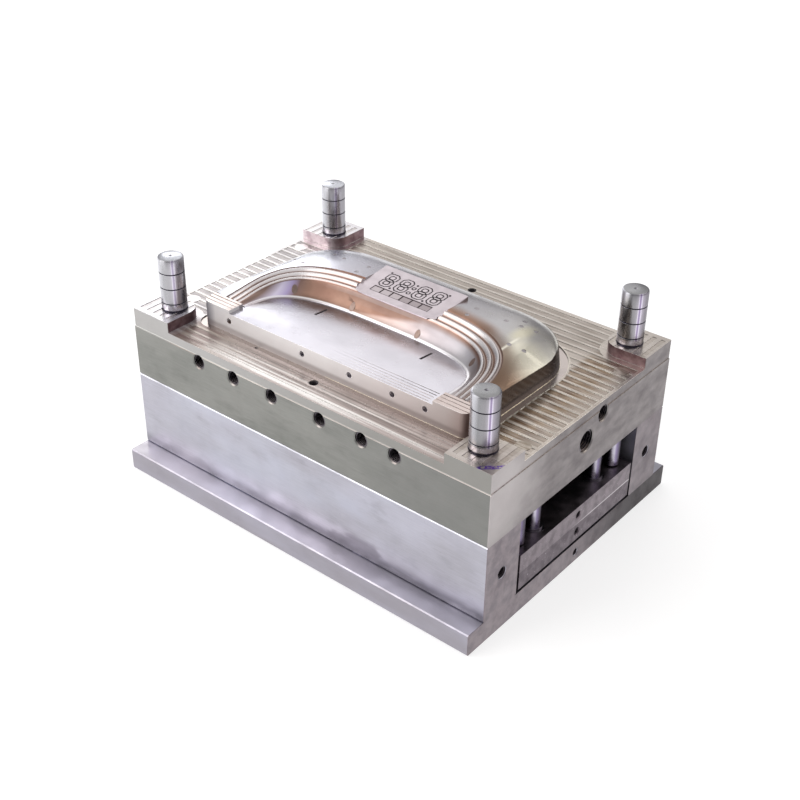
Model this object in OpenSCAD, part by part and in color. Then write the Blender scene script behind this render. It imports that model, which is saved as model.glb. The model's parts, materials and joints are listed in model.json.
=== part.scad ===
// Moving half of a two-plate injection mould, millimetres.
// X runs along the long side, the cooling ports face -Y, Z is the opening direction.
// The origin is the centre of the clamp plate's bottom face.

/* [Mould base] */
// Length of all plates
base_l = 600; // [580:10:660]
// Width of the core plate and of the spacer pair
base_w = 400; // [390:10:440]
// Overhang of the clamp plate on each long side
clamp_overhang = 30; // [20:1:40]
// Thickness of the clamp plate
clamp_t = 32; // [28:1:40]
// Height of the spacer blocks
spacer_h = 113; // [108:1:140]
// Width of each spacer block
spacer_w = 67; // [60:1:70]
// Thickness of the core plate up to the parting plane
core_plate_t = 88; // [84:1:110]
// Height of the lighter machined band under the parting plane
band_h = 12; // [8:1:16]
// Depth of the step above which the band starts
band_step = 0.8; // [0.4:0.1:1.5]
// Chamfer on the long edges of the plates
edge_chamfer = 1.5; // [0.5:0.1:2.5]

/* [Parting plane] */
// Length of each corner pad along X
pad_l = 68; // [60:1:68]
// Width of each corner pad along Y
pad_w = 65; // [60:1:68]
// Height of the corner pads
pad_h = 15; // [10:1:24]
// Inner corner radius of the pads
pad_r = 24; // [8:1:26]
// Distance between two milled stripes
stripe_pitch = 13.6; // [10:0.2:20]
// Width of a milled stripe
stripe_w = 10; // [5:0.2:11]
// Depth of a milled stripe
stripe_depth = 0.5; // [0.3:0.1:1]
// Smooth margin the stripes leave at the ends of the plate
stripe_margin = 5; // [3:1:10]
// Smooth border the stripes leave round each pad
pad_border = 10; // [6:1:12]
// Smooth land in front of the core
land_front = 18; // [16:1:30]
// Smooth land round the sides and the back of the core
land_side = 11; // [10:1:16]

/* [Cooling and lifting] */
// Bore of a cooling port
port_d = 19.5; // [16:0.5:21]
// Bore of a cooling channel in the core
channel_d = 12; // [8:0.5:14]
// Depth of the port axis below the parting plane
port_drop = 22; // [20:1:27]
// Bore of the large lifting hole
lift_d = 30; // [20:1:30]
// Bore of the small lifting hole beside it
side_lift_d = 22; // [16:1:24]
// Bore of the lifting holes in the spacer ends
spacer_lift_d = 16; // [12:1:20]
// Bore of the threaded holes in the plate ends
plate_end_d = 10; // [8:0.5:12]
// Bore of the two threaded holes in the parting plane
top_thread_d = 12.5; // [10:0.5:14]

/* [Guide pillars] */
// Diameter of the exposed guide pillar
pillar_d = 35; // [30:1:36]
// Height of the pillars above the pads
pillar_rise = 77; // [60:1:110]
// Pillar axis from the end of the plate
pillar_in_x = 41; // [36:1:44]
// Pillar axis from the long side of the plate
pillar_in_y = 39; // [34:1:42]
// Spacing of the grease rings
ring_pitch = 22; // [16:1:24]

/* [Ejector set] */
// Thickness of the ejector base plate
ej_base_t = 26; // [20:1:28]
// Thickness of the ejector retainer plate
ej_retainer_t = 27; // [22:1:30]
// Gap between the ejector plates and the spacers
ej_side_gap = 4.5; // [2:0.5:8]
// Height of the rest buttons
rest_h = 5; // [3:0.5:6]
// Diameter of the return pins
return_d = 20; // [16:1:22]
// Diameter of the guide pins of the ejector plates
ej_guide_d = 18; // [14:1:20]
// Diameter of the ejector pins
ej_pin_d = 6; // [4:0.5:7]
// Diameter of the support pillars
support_d = 40; // [30:1:44]
// Bore for the machine's ejector rod
rod_bore_d = 50; // [40:1:60]
// Diameter of the rest buttons
rest_d = 20; // [16:1:24]

/* [Core] */
// Length of the core
core_l = 444; // [436:1:450]
// Front wall of the core from the plate's middle
core_front = 144; // [140:1:148]
// Back of the core from the plate's middle
core_back = 112; // [106:1:118]
// Back corner radius of the core
core_back_r = 75; // [60:1:90]
// Front corner radius of the core
core_front_r = 12; // [6:1:16]
// Height of the front wall above the parting plane
panel_h = 28; // [24:1:34]
// Fall of the flat panel from front to back
panel_drop = 8; // [4:1:12]
// Height of the rim at the front
rim_front_h = 34; // [31:1:38]
// Height of the rim at the back
rim_back_h = 23; // [18:1:28]
// Height of the inner rib's foot at the back
crown_h = 45; // [38:1:48]
// Rise from one rib to the next at the back
rib_rise = 2.5; // [1:0.5:4]
// Spacing of the ribs at the sides
rib_pitch = 8.3; // [7:0.1:9]
// Spacing of the ribs at the back
rib_pitch_back = 10.1; // [8:0.1:11]
// Height of a rib over its foot
rib_h = 2.4; // [1:0.2:3.5]
// Depth of the insert under the parting plane
seat_depth = 40; // [36:1:44]
// Width of the flange round the core's foot
flange_w = 9; // [6:1:10]
// Depth of the flange under the parting plane
flange_drop = 1.5; // [0.5:0.5:3]

/* [Display insert] */
// Width of the display insert
display_w = 140; // [136:1:146]
// Depth of the display insert
display_l = 73; // [70:1:76]
// Front corner radius of the display insert
display_r = 13; // [6:1:18]
// Forward tilt of its face
display_tilt = 6; // [3:0.5:8]
// Height of its face over the parting plane at its middle
display_h = 50.5; // [48:0.5:56]
// Height of one digit
digit_h = 33; // [26:0.5:34]
// Width of one digit
digit_w = 19.5; // [16:0.5:22]
// Width of a digit's segment
segment_w = 5; // [4:0.1:6]

/* [Clearances] */
// Gap between parts that are bolted together
fit_gap = 0.05; // [0.02:0.01:0.1]
// Radial gap of everything that slides
slide_gap = 0.05; // [0.02:0.01:0.1]
// Radial gap round screws and pins that only pass through
pass_gap = 0.5; // [0.3:0.1:1]

/* [Hidden] */
$fn = 48;
tiny = 0.01;

// Levels from the floor up
z_spacer = clamp_t;
z_core = z_spacer + spacer_h;
z_part = z_core + core_plate_t;
z_pad = z_part + pad_h;
z_tip = z_pad + pillar_rise;
z_ej_base = clamp_t + rest_h;
z_ej_retainer = z_ej_base + ej_base_t;
z_ej_top = z_ej_retainer + ej_retainer_t;
z_seat = z_part - seat_depth;
z_flange = z_part - flange_drop;
z_panel = z_part + panel_h;
z_port = z_part - port_drop;

// Places in plan
pillar_x = base_l / 2 - pillar_in_x;
pillar_y = base_w / 2 - pillar_in_y;
spacer_y = base_w / 2 - spacer_w / 2;
ej_w = base_w - 2 * spacer_w - 2 * ej_side_gap;
return_head_d = return_d + 6;
bush_d = ej_guide_d + 6;
bush_flange_d = ej_guide_d + 12;
post_gap = 12;
return_x = base_l / 2 - return_d;
return_y = ej_w / 2 - return_head_d / 2 - 5.5;
guide_x = base_l / 2 - bush_flange_d / 2 - 8;
guide_y = return_y - return_head_d / 2 - bush_flange_d / 2 - post_gap;
port_x = [-175, -111, -43, 39, 107, 159];
wall_hole_x = [-172, -40, 40, 109, 160];
support_front = [130, -60];
support_back = [60, ej_w / 2 - support_d / 2 - 20.5];
support_xy = [for (p = [support_front, support_back], s = [-1, 1]) [s * p[0], p[1]]];
rest_inner = [base_l / 4, ej_w / 2 - rest_d / 2 - 18.5];
rest_outer = [base_l / 2 - rest_d / 2 - 28, rest_d];
rest_xy = [for (p = [rest_outer, rest_inner], sx = [-1, 1], sy = [-1, 1]) [sx * p[0], sy * p[1]]];
clamp_screw_x = base_l / 2 - 85;
top_thread_y = base_w / 2 - 34;

// Screws: shank, head and head height
big_screw = [16, 24, 16];
core_screw = [12, 18, 12];
plate_screw = [10, 16, 10];
small_screw = [8, 13, 8];
head_gap = 1;

clamp_screw_xy = [for (x = [-1, 0, 1], s = [-1, 1]) [x * clamp_screw_x, s * spacer_y]];
core_screw_front = [core_l / 2 - 22, core_front - 44];
core_screw_side = [core_l / 2 - 32, 40];
core_screw_xy = [[-core_screw_front[0], -core_screw_front[1]], [0, -core_screw_front[1]],
                 [core_screw_front[0], -core_screw_front[1]], [-core_screw_side[0], core_screw_side[1]],
                 core_screw_side, [0, core_back - 24]];
plate_screw_xy = [for (x = [-base_l / 3, 0, base_l / 3], s = [-1, 1]) [x, s * (ej_w / 2 - 23)]];
display_screw_xy = [[-40, 26], [40, 26]];
dowel_xy = [for (x = [-base_l / 5, base_l / 5], s = [-1, 1]) [x, s * spacer_y]];
screw_bite = 26;
core_bite = 20;
plate_bite = 18;
display_bite = 12;
support_bite = 20;
dowel_d = 12;
dowel_reach = 30;

// Guide pillar details
pillar_seat_d = pillar_d + 1;
pillar_head_d = pillar_d + 7;
pillar_head_h = 8;
ring_w = 1.6;
ring_depth = 0.9;

// Corners: name, side along X, side along Y
CORNERS = [
    ["front_left", -1, -1],
    ["front_right", 1, -1],
    ["rear_left", -1, 1],
    ["rear_right", 1, 1]
];

// Arch of the core, drawn from its front edge to the back
arch_y = -117;
arch_steps = 56;
panel_a = core_l / 2 - 52;
inner_a = core_l / 2 - 42;
outer_a = inner_a + 3 * rib_pitch;
core_a = core_l / 2;
core_b = core_back - arch_y;
inner_b = core_b - 122.5;
panel_b = inner_b - 14.5;
outer_b = inner_b + 3 * rib_pitch_back;
rib_foot_h = panel_h + 1.3;
rib_foot_rise = 0.8;
rim_round = 15;
rim_flat = 37;
facet_y = 8;
under = 6;
wall_hole_d = 8;
wall_hole_depth = 14;
flange_hole_d = 5;
channel_l = 129;

// Display segments, ejector pins and blades
slope_pin_d = ej_pin_d + 2;
digit_line = 0.9;
digit_depth = 0.8;
display_at = [-2.2, 26];
display_z = z_part + display_h;
display_floor = z_part + 12;
digit_at = [[-41.2, 8], [-16, 8], [14.8, 8], [39.9, 8]];
dot_at = [[-50.4, 24.9], [-28.6, -7], [-0.6, 18.8], [27.2, -7], [49.8, 23.5]];
ring_at = [[-0.6, 10.4], [-0.6, -2]];
window_count = 6;
window_size = [16.4, 11.7];
window_at = [-49.8, -23.5];
dome_pins = [[114, 0.33], [115, 0.08], [124.5, 0.39], [127, 0.62], [129, 0.5], [133, 0.65], [136.5, 0.14], [142, 0.37]];
slope_pins = [[42, 0.58], [70, 0.34], [106, 0.3], [138, 0.58]];
blade_xy = [[-89.5, -53], [89.5, -53]];
blade_t = 3;
blade_w = 24;
pin_head_h = 5;
pin_head_over = 2;

// Rays and outlines of the arch, all in polar steps about the middle of its front edge

// Angle of a step, finer at the corners
function step_angle(i) = let (u = 2 * i / arch_steps) 90 * u + 8 * sin(360 * u);

// Point of a rounded arch with half width a and depth b
function arch_ray(a, b, p, angle) =
    let (c = abs(cos(angle)), s = sin(angle), r = pow(pow(c, p) + pow(s, p), -1 / p))
    [-a * cos(angle) * r, b * s * r];

// Point of the core's outline, straight sides joined by true arcs of radius r
function foot_ray(angle, r) =
    let (
        side = cos(angle) > 0 ? -1 : 1,
        dx = core_a * abs(cos(angle)),
        dy = core_b * sin(angle),
        cx = core_a - r,
        cy = core_b - r,
        k = dx * dx + dy * dy,
        m = dx * cx + dy * cy,
        n = cx * cx + cy * cy - r * r,
        t = core_a / dx * dy <= cy ? core_a / dx
          : core_b / dy * dx <= cx ? core_b / dy
          : (m + sqrt(m * m - k * n)) / k
    )
    [side * t * dx, t * dy];

// Heights over the parting plane, by distance from the arch's front edge
function panel_z(y) = panel_h - panel_drop * y / panel_b;
function rim_z(y) = rim_front_h - (rim_front_h - rim_back_h) * max(0, y - rim_flat) / (core_b - rim_flat);
function rib_foot_z(k, y, b) =
    let (front = rib_foot_h + rib_foot_rise * k, back = crown_h + rib_rise * k)
    front + (back - front) * pow(max(0, y) / b, 1.25);

function mix(p, q, w) = p + (q - p) * w;
function lift(p, z) = [p[0], p[1] + arch_y, z_part + z];

// Inner slope from the panel, at w = 0, to the inner rib, at w = 1
function slope_point(angle, w) =
    let (
        p = arch_ray(mix(panel_a, inner_a, w), mix(panel_b, inner_b, w), mix(3.3, 3.6, w), angle),
        low = panel_z(p[1]),
        high = rib_foot_z(0, p[1], inner_b),
        sag = 0.1 * (high - low) * sin(180 * w)
    )
    lift(p, mix(low, high, w) - sag);

// Ribs: o counts rib spacings outwards from the inner rib's foot
function rib_point(angle, o, rise) =
    let (b = inner_b + o * rib_pitch_back, p = arch_ray(inner_a + o * rib_pitch, b, mix(3.6, 3.4, o / 3), angle))
    lift(p, rib_foot_z(o, p[1], b) + rise);

// Dome from the outer rib, at w = 0, to the rim, at w = 1
function dome_point(angle, w) =
    let (
        p = arch_ray(outer_a, outer_b, 3.4, angle),
        q = foot_ray(angle, core_back_r + rim_round),
        low = rim_z(q[1]),
        high = rib_foot_z(3, p[1], outer_b)
    )
    lift(mix(p, q, w), low + (high - low) * sqrt(1 - w * w));

rib_shape = [[0, 0], [0.1, 0.6], [0.28, 1], [0.46, 0.75], [0.62, -0.25], [0.82, -0.45]];

// One section of the arch, from the inside out
function section(angle) = let (foot = foot_ray(angle, core_back_r), hide = arch_ray(panel_a - under, panel_b - under, 3.3, angle)) concat(
    [lift(hide, -seat_depth / 2), lift(hide, panel_z(hide[1]) - under)],
    [slope_point(angle, 0) + [0, 0, 1.2], slope_point(angle, 0.12) + [0, 0, 0.6]],
    [for (w = [0.35, 0.6, 0.85]) slope_point(angle, w)],
    [for (k = [0:2], s = rib_shape) rib_point(angle, k + s[0], rib_h * s[1])],
    [for (a = [0, 12, 25, 38, 51, 64, 77, 90]) dome_point(angle, sin(a))],
    [lift(foot, -seat_depth / 2)]
);

// Plate with chamfered long edges, drawn by its end profile
module long_plate(size, at) {
    w = size[1] / 2;
    h = size[2];
    c = edge_chamfer;
    translate([at[0] - size[0] / 2, at[1], at[2]])
    rotate([90, 0, 90])
    linear_extrude(size[0])
    polygon([[c - w, 0], [w - c, 0], [w, c], [w, h - c], [w - c, h], [c - w, h], [-w, h - c], [-w, c]]);
}

module block(size, at) {
    translate(at) translate([-size[0] / 2, -size[1] / 2, 0]) cube(size);
}

module hole(d, from, to, at = [0, 0]) {
    translate([at[0], at[1], from]) cylinder(d = d, h = to - from);
}

// Rounded rectangle with its own front and back corner radii
module core_outline(grow) {
    half = core_l / 2 + grow;
    back = core_back + grow;
    front = core_front + grow;
    back_r = core_back_r + grow;
    front_r = core_front_r + grow;
    translate([-half, front_r - front]) square([2 * half, front + back - front_r - back_r]);
    translate([back_r - half, 0]) square([2 * (half - back_r), back]);
    translate([front_r - half, -front]) square([2 * (half - front_r), front]);
    for (s = [-1, 1]) {
        translate([s * (half - back_r), back - back_r]) circle(r = back_r, $fn = 96);
        translate([s * (half - front_r), front_r - front]) circle(r = front_r);
    }
}

module screw(size, z, length, at) {
    hole(size[1], z, z + size[2], at);
    hole(size[0], z + size[2] - tiny, z + size[2] + length, at);
}

// Corner pad with one rounded inner corner
module pad(side) {
    x0 = base_l / 2 - pad_l;
    y0 = base_w / 2 - pad_w;
    translate([0, 0, z_part - tiny])
    linear_extrude(pad_h + tiny)
    scale([side[1], side[2]])
    union() {
        translate([x0 + pad_r, y0]) square([pad_l - pad_r - band_step, pad_w - band_step]);
        translate([x0, y0 + pad_r]) square([pad_l - band_step, pad_w - pad_r - band_step]);
        translate([x0 + pad_r, y0 + pad_r]) circle(r = pad_r);
    }
}

// Plan of a pad's smooth surroundings
module pad_zone(side, grow) {
    x0 = base_l / 2 - pad_l - grow;
    y0 = base_w / 2 - pad_w - grow;
    r = pad_r + grow;
    scale([side[1], side[2]]) {
        translate([x0 + r, y0]) square([base_l, base_w]);
        translate([x0, y0 + r]) square([base_l, base_w]);
        translate([x0 + r, y0 + r]) circle(r = r);
    }
}

// Milled stripes of the parting plane, kept off the smooth land and the pads
module stripes() {
    count = floor((base_w / 2 - stripe_w / 2 - 4) / stripe_pitch);
    difference() {
        for (i = [-count:count])
            block([base_l - 2 * stripe_margin, stripe_w, stripe_depth + 1],
                  [0, i * stripe_pitch - 3.1, z_part - stripe_depth]);
        translate([0, 0, z_part - 2]) linear_extrude(4) core_outline(land_side);
        block([core_l + 2 * land_side, core_front + land_front, 4], [0, -(core_front + land_front) / 2, z_part - 2]);
        translate([0, 0, z_part - 2]) linear_extrude(4) for (c = CORNERS) pad_zone(c, pad_border);
    }
}

// Stripes on a pad run across those of the parting plane
module pad_stripes(side) {
    pitch = 12.8;
    for (i = [1:floor(pad_l / pitch)])
        block([6.2, pad_w + 2, stripe_depth + 1],
              [side[1] * (base_l / 2 + 5 - i * pitch), side[2] * (base_w / 2 - pad_w / 2 - 10), z_pad - stripe_depth]);
}

module end_hole(d, depth, y, z) {
    for (s = [-1, 1])
        translate([s * base_l / 2, y, z]) rotate([0, -s * 90, 0]) {
            cylinder(d = d, h = depth);
            translate([0, 0, -tiny]) cylinder(d1 = d + 3, d2 = d, h = 1.5);
        }
}

module clamp_plate() {
    color("#b3b0ba")
    difference() {
        long_plate([base_l, base_w + 2 * clamp_overhang, clamp_t], [0, 0, 0]);
        hole(rod_bore_d, -1, clamp_t + 1);
        for (p = clamp_screw_xy) {
            hole(big_screw[0] + 2 * pass_gap, -1, clamp_t + 1, p);
            hole(big_screw[1] + 2 * head_gap, -1, big_screw[2] + head_gap, p);
        }
        for (p = support_xy) {
            hole(small_screw[0] + 2 * pass_gap, -1, clamp_t + 1, p);
            hole(small_screw[1] + 2 * head_gap, -1, small_screw[2] + head_gap, p);
        }
        for (p = dowel_xy) hole(dowel_d + 2 * fit_gap, -1, clamp_t + 1, p);
        for (c = CORNERS) hole(ej_guide_d + 2 * fit_gap, clamp_t - 20, clamp_t + 1, [c[1] * guide_x, c[2] * guide_y]);
        end_hole(plate_end_d, 25, 4, clamp_t * 0.45);
    }
}

module spacer_block(side) {
    color("#aeacb7")
    difference() {
        long_plate([base_l, spacer_w, spacer_h], [0, side * spacer_y, z_spacer]);
        for (p = clamp_screw_xy) hole(big_screw[0] + 2 * pass_gap, z_spacer - 1, z_core + 1, p);
        for (p = dowel_xy) hole(dowel_d + 2 * fit_gap, z_spacer - 1, z_spacer + dowel_reach + 1, p);
        end_hole(spacer_lift_d, 30, side * spacer_y, z_spacer + spacer_h / 2);
    }
}

module core_plate_body() {
    difference() {
        union() {
            long_plate([base_l, base_w, core_plate_t - band_h], [0, 0, z_core]);
            block([base_l - 2 * band_step, base_w - 2 * band_step, core_plate_t - tiny], [0, 0, z_core]);
        }
        stripes();
    }
    for (c = CORNERS)
        difference() {
            pad(c);
            pad_stripes(c);
        }
}

module core_plate() {
    color("#9ba09a")
    difference() {
        core_plate_body();
        // Pocket of the core insert
        translate([0, 0, z_seat]) linear_extrude(seat_depth + 2) core_outline(flange_w + fit_gap);
        // Cooling ports, with a small lead-in
        for (x = port_x)
            translate([x, -base_w / 2, z_port]) rotate([-90, 0, 0]) {
                cylinder(d = port_d, h = base_w / 2 - core_front);
                translate([0, 0, -tiny]) cylinder(d1 = port_d + 3, d2 = port_d, h = 1.5);
            }
        // Lifting holes in the ends
        end_hole(lift_d, 45, 2, z_core + core_plate_t / 2 + 1);
        end_hole(side_lift_d, 35, 37, z_port + 3);
        // Threaded holes in the parting plane
        for (s = [-1, 1]) hole(top_thread_d, z_part - 25, z_part + 1, [0, s * top_thread_y]);
        for (c = CORNERS) {
            at = [c[1] * pillar_x, c[2] * pillar_y];
            hole(pillar_seat_d + 2 * fit_gap, z_core - 1, z_pad + 1, at);
            hole(pillar_head_d + 2 * head_gap, z_core - 1, z_core + pillar_head_h, at);
            hole(return_d + 2 * slide_gap, z_core - 1, z_part + 1, [c[1] * return_x, c[2] * return_y]);
            hole(ej_guide_d + 2 * fit_gap, z_core - 1, z_core + 25, [c[1] * guide_x, c[2] * guide_y]);
        }
        for (p = clamp_screw_xy) hole(big_screw[0] + 2 * fit_gap, z_core - 1, z_core + screw_bite + 2, p);
        for (p = core_screw_xy) {
            hole(core_screw[0] + 2 * pass_gap, z_core - 1, z_seat + 1, p);
            hole(core_screw[1] + 2 * head_gap, z_core - 1, z_core + core_screw[2] + head_gap, p);
        }
        for (p = pin_places()) hole(p[3] + 2 * pass_gap, z_core - 1, z_seat + 1, p);
        for (p = blade_xy)
            block([blade_t + 2 * pass_gap, blade_w + 2 * pass_gap, z_seat - z_core + 2], [p[0], p[1], z_core - 1]);
    }
}

// Every ejector pin: x, y, height of its tip, diameter
function pin_places() = concat(
    [for (p = dome_pins, s = [-1, 1]) let (q = dome_point(p[0], p[1])) [s * q[0], q[1], q[2] - 0.3, ej_pin_d]],
    [for (p = slope_pins) let (q = slope_point(p[0], p[1])) [q[0], q[1], q[2] - 0.6, slope_pin_d]]
);

// Height of the flat panel at a place behind the arch's front edge
function panel_level(y) = z_part + panel_z(max(0, y - arch_y));

// Skin through the sections, run on past its front edge and cut off flat there
module arch() {
    start = [for (q = section(0)) q - [0, 3, 0]];
    end = [for (q = section(180)) q - [0, 3, 0]];
    rows = concat([start], [for (i = [0:arch_steps]) section(step_angle(i))], [end]);
    m = len(start);
    last = len(rows) - 1;
    difference() {
        polyhedron(
            points = [for (row = rows) each row],
            faces = concat(
                [[for (j = [m - 1:-1:0]) j]],
                [[for (j = [0:m - 1]) last * m + j]],
                [for (i = [0:last - 1], j = [0:m - 1]) [i * m + j, i * m + (j + 1) % m, (i + 1) * m + j]],
                [for (i = [0:last - 1], j = [0:m - 1])
                    [(i + 1) * m + j, i * m + (j + 1) % m, (i + 1) * m + (j + 1) % m]]
            )
        );
        block([base_l, 20, 2 * base_l], [0, arch_y - 10, 0]);
    }
}

// Flat panel inside the arch, falling towards the back
module panel() {
    reach = 4;
    edge = [for (i = [0:arch_steps]) arch_ray(panel_a + reach, panel_b + reach, 3.3, step_angle(i)) + [0, arch_y]];
    difference() {
        translate([0, 0, z_flange - 5])
        linear_extrude(z_panel - z_flange + 5)
        polygon(concat([[-panel_a - reach, arch_y - 5]], edge, [[panel_a + reach, arch_y - 5]]));
        translate([-base_l / 2, arch_y, z_panel]) rotate([-atan(panel_drop / panel_b), 0, 0])
            cube([base_l, core_b, 40]);
    }
}

// Front strip with its vertical wall, and the rib-end blocks on it
module front_strip() {
    wall = core_front + arch_y;
    difference() {
        translate([0, 0, z_flange - 5]) linear_extrude(z_panel - z_flange + 5) core_outline(0);
        block([core_l + 2, core_b + 2, 80], [0, arch_y + 5 + (core_b + 2) / 2, z_flange - 6]);
        block([2 * panel_a, 20, 80], [0, arch_y + 7, z_flange - 6]);
    }
    difference() {
        translate([0, 0, z_flange]) linear_extrude(z_part + rim_front_h - 1 - z_flange) core_outline(0);
        block([core_l + 2, core_b + 2, 80], [0, arch_y - 1.5 + (core_b + 2) / 2, z_flange - 1]);
        block([2 * panel_a + 2, core_l, 80], [0, 0, z_flange - 1]);
        for (i = [1:3])
            block([core_l + 2, 1.4, 2], [0, -core_front + i * wall / 4, z_part + rim_front_h - 1.8]);
    }
}

// Half space above the flat side facet
module side_facet() {
    translate([core_a, facet_y, z_part + rim_z(facet_y - arch_y)]) rotate([0, 30, 5]) translate([-60, -200, 0]) cube([120, 400, 80]);
}

module core_solid() {
    translate([0, 0, z_seat]) linear_extrude(seat_depth - flange_drop) core_outline(flange_w);
    panel();
    front_strip();
    arch();
}

module display_prism(grow, floor_z, top_z) {
    r = display_r + grow;
    w = display_w / 2 + grow;
    l = display_l / 2 + grow;
    translate([display_at[0], display_at[1], floor_z])
    linear_extrude(top_z - floor_z)
    union() {
        translate([-w, r - l]) square([2 * w, 2 * l - r]);
        translate([r - w, -l]) square([2 * (w - r), l]);
        for (s = [-1, 1]) translate([s * (w - r), r - l]) circle(r = r);
    }
}

module core_block() {
    color("#cfc6be")
    difference() {
        core_solid();
        side_facet();
        mirror([1, 0, 0]) side_facet();
        display_prism(fit_gap, display_floor, z_part + 80);
        for (p = display_screw_xy) {
            hole(small_screw[0] + 2 * pass_gap, z_seat - 1, display_floor + 1, p);
            hole(small_screw[1] + 2 * head_gap, z_seat - 1, z_seat + small_screw[2] + head_gap, p);
        }
        for (p = core_screw_xy) hole(core_screw[0] + 2 * fit_gap, z_seat - 1, z_seat + core_bite + 2, p);
        for (p = pin_places()) hole(p[3] + 2 * slide_gap, z_seat - 1, z_part + 80, p);
        for (p = blade_xy)
            block([blade_t + 2 * slide_gap, blade_w + 2 * slide_gap, 120], [p[0], p[1], z_seat - 1]);
        for (x = port_x)
            translate([x, -core_front - flange_w - 1, z_port]) rotate([-90, 0, 0]) cylinder(d = channel_d, h = channel_l + 1);
        for (x = wall_hole_x)
            translate([x, -core_front - 1, z_part + panel_h * 0.6]) rotate([-90, 0, 0])
                cylinder(d = wall_hole_d, h = wall_hole_depth + 1);
        hole(flange_hole_d, z_flange - 6, z_flange + 1, [-118, -core_front - flange_w / 2]);
        // Fine grooves that fade out along the panel's front edge
        for (i = [0:4])
            translate([-27, -141.5 + 5.3 * i, z_panel + 0.1]) rotate([0, 0.3, 0]) cube([190, 1.2, 3]);
    }
}

// Engraved outline of a rectangle with cut corners
module outline(w, h, cut, line) {
    difference() {
        octagon(w / 2, h / 2, cut);
        octagon(w / 2 - line, h / 2 - line, cut - line / 2);
    }
}

module octagon(x, y, c) {
    polygon([[c - x, -y], [x - c, -y], [x, c - y], [x, y - c], [x - c, y], [c - x, y], [-x, y - c], [-x, c - y]]);
}

// A digit: two overlapping loops whose shared lines bound the middle segment
module digit() {
    high = (digit_h + segment_w) / 2;
    for (s = [-1, 1]) {
        translate([0, s * (digit_h - high) / 2]) outline(digit_w, high, 5, digit_line);
        translate([0, s * (digit_h - high) / 2]) outline(digit_w - 2 * segment_w, high - 2 * segment_w, 2.2, digit_line);
    }
}

module display_insert() {
    color("#d6cdd2")
    difference() {
        display_prism(0, display_floor, z_part + 70);
        translate([display_at[0], display_at[1], display_z]) rotate([display_tilt, 0, 0]) {
            translate([-display_w, -display_l, 0]) cube([2 * display_w, 2 * display_l, 60]);
            translate([0, 0, -digit_depth]) linear_extrude(digit_depth + 1) {
                for (p = digit_at) translate(p) digit();
                for (p = dot_at) translate(p) circle(d = 3);
                for (p = ring_at)
                    translate(p)
                    difference() {
                        circle(d = 6.4);
                        circle(d = 4.6);
                    }
            }
            // Shallow windows under the digits
            for (i = [0:window_count - 1])
                translate([window_at[0] + i * window_size[0], window_at[1], -digit_depth / 2])
                    cube([window_size[0] - 0.8, window_size[1], 2]);
        }
        // Little notches on the edge, for prying the insert out
        for (p = [[display_w / 2, -26], [display_w / 2, -13], [display_w / 2 - 9, -display_l / 2]])
            hole(5, display_z - 9, display_z + 20, [display_at[0] + p[0], display_at[1] + p[1]]);
        for (p = display_screw_xy) hole(small_screw[0] + 2 * fit_gap, display_floor - 1, display_floor + display_bite + 2, p);
    }
}

module guide_pillar(c) {
    low = z_core;
    r = pillar_d / 2;
    rings = [for (i = [3:-1:1]) z_tip - i * ring_pitch];
    color("#c3c3cc")
    translate([c[1] * pillar_x, c[2] * pillar_y, 0])
    difference() {
        rotate_extrude($fn = 64)
        polygon(concat(
            [[0, low], [pillar_head_d / 2, low], [pillar_head_d / 2, low + pillar_head_h],
             [pillar_seat_d / 2, low + pillar_head_h], [pillar_seat_d / 2, z_pad], [r, z_pad]],
            [for (z = rings, q = [[0, 0], [-ring_depth, 0], [-ring_depth, ring_w], [0, ring_w]]) [r + q[0], z + q[1]]],
            [[r, z_tip - 2.5], [r - 0.8, z_tip - 0.8], [r - 2.5, z_tip], [0, z_tip]]
        ));
        translate([0, 0, z_tip - 4]) cylinder(d1 = 1, d2 = 5, h = 4 + tiny);
    }
}

module return_pin(c) {
    color("#bdbcc4")
    translate([c[1] * return_x, c[2] * return_y, 0]) {
        hole(return_head_d, z_ej_retainer, z_ej_retainer + 8);
        hole(return_d, z_ej_retainer, z_part);
    }
}

module ejector_guide_pin(c) {
    color("#b9b8c4")
    hole(ej_guide_d, clamp_t - 20, z_core + 25, [c[1] * guide_x, c[2] * guide_y]);
}

module ejector_guide_bush(c) {
    color("#8f8a8e")
    translate([c[1] * guide_x, c[2] * guide_y, 0])
    difference() {
        union() {
            hole(bush_flange_d, z_ej_base, z_ej_top);
            hole(bush_d, z_ej_base, z_ej_top + 3);
        }
        hole(ej_guide_d + 2 * slide_gap, z_ej_base - 1, z_ej_top + 4);
    }
}

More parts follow.
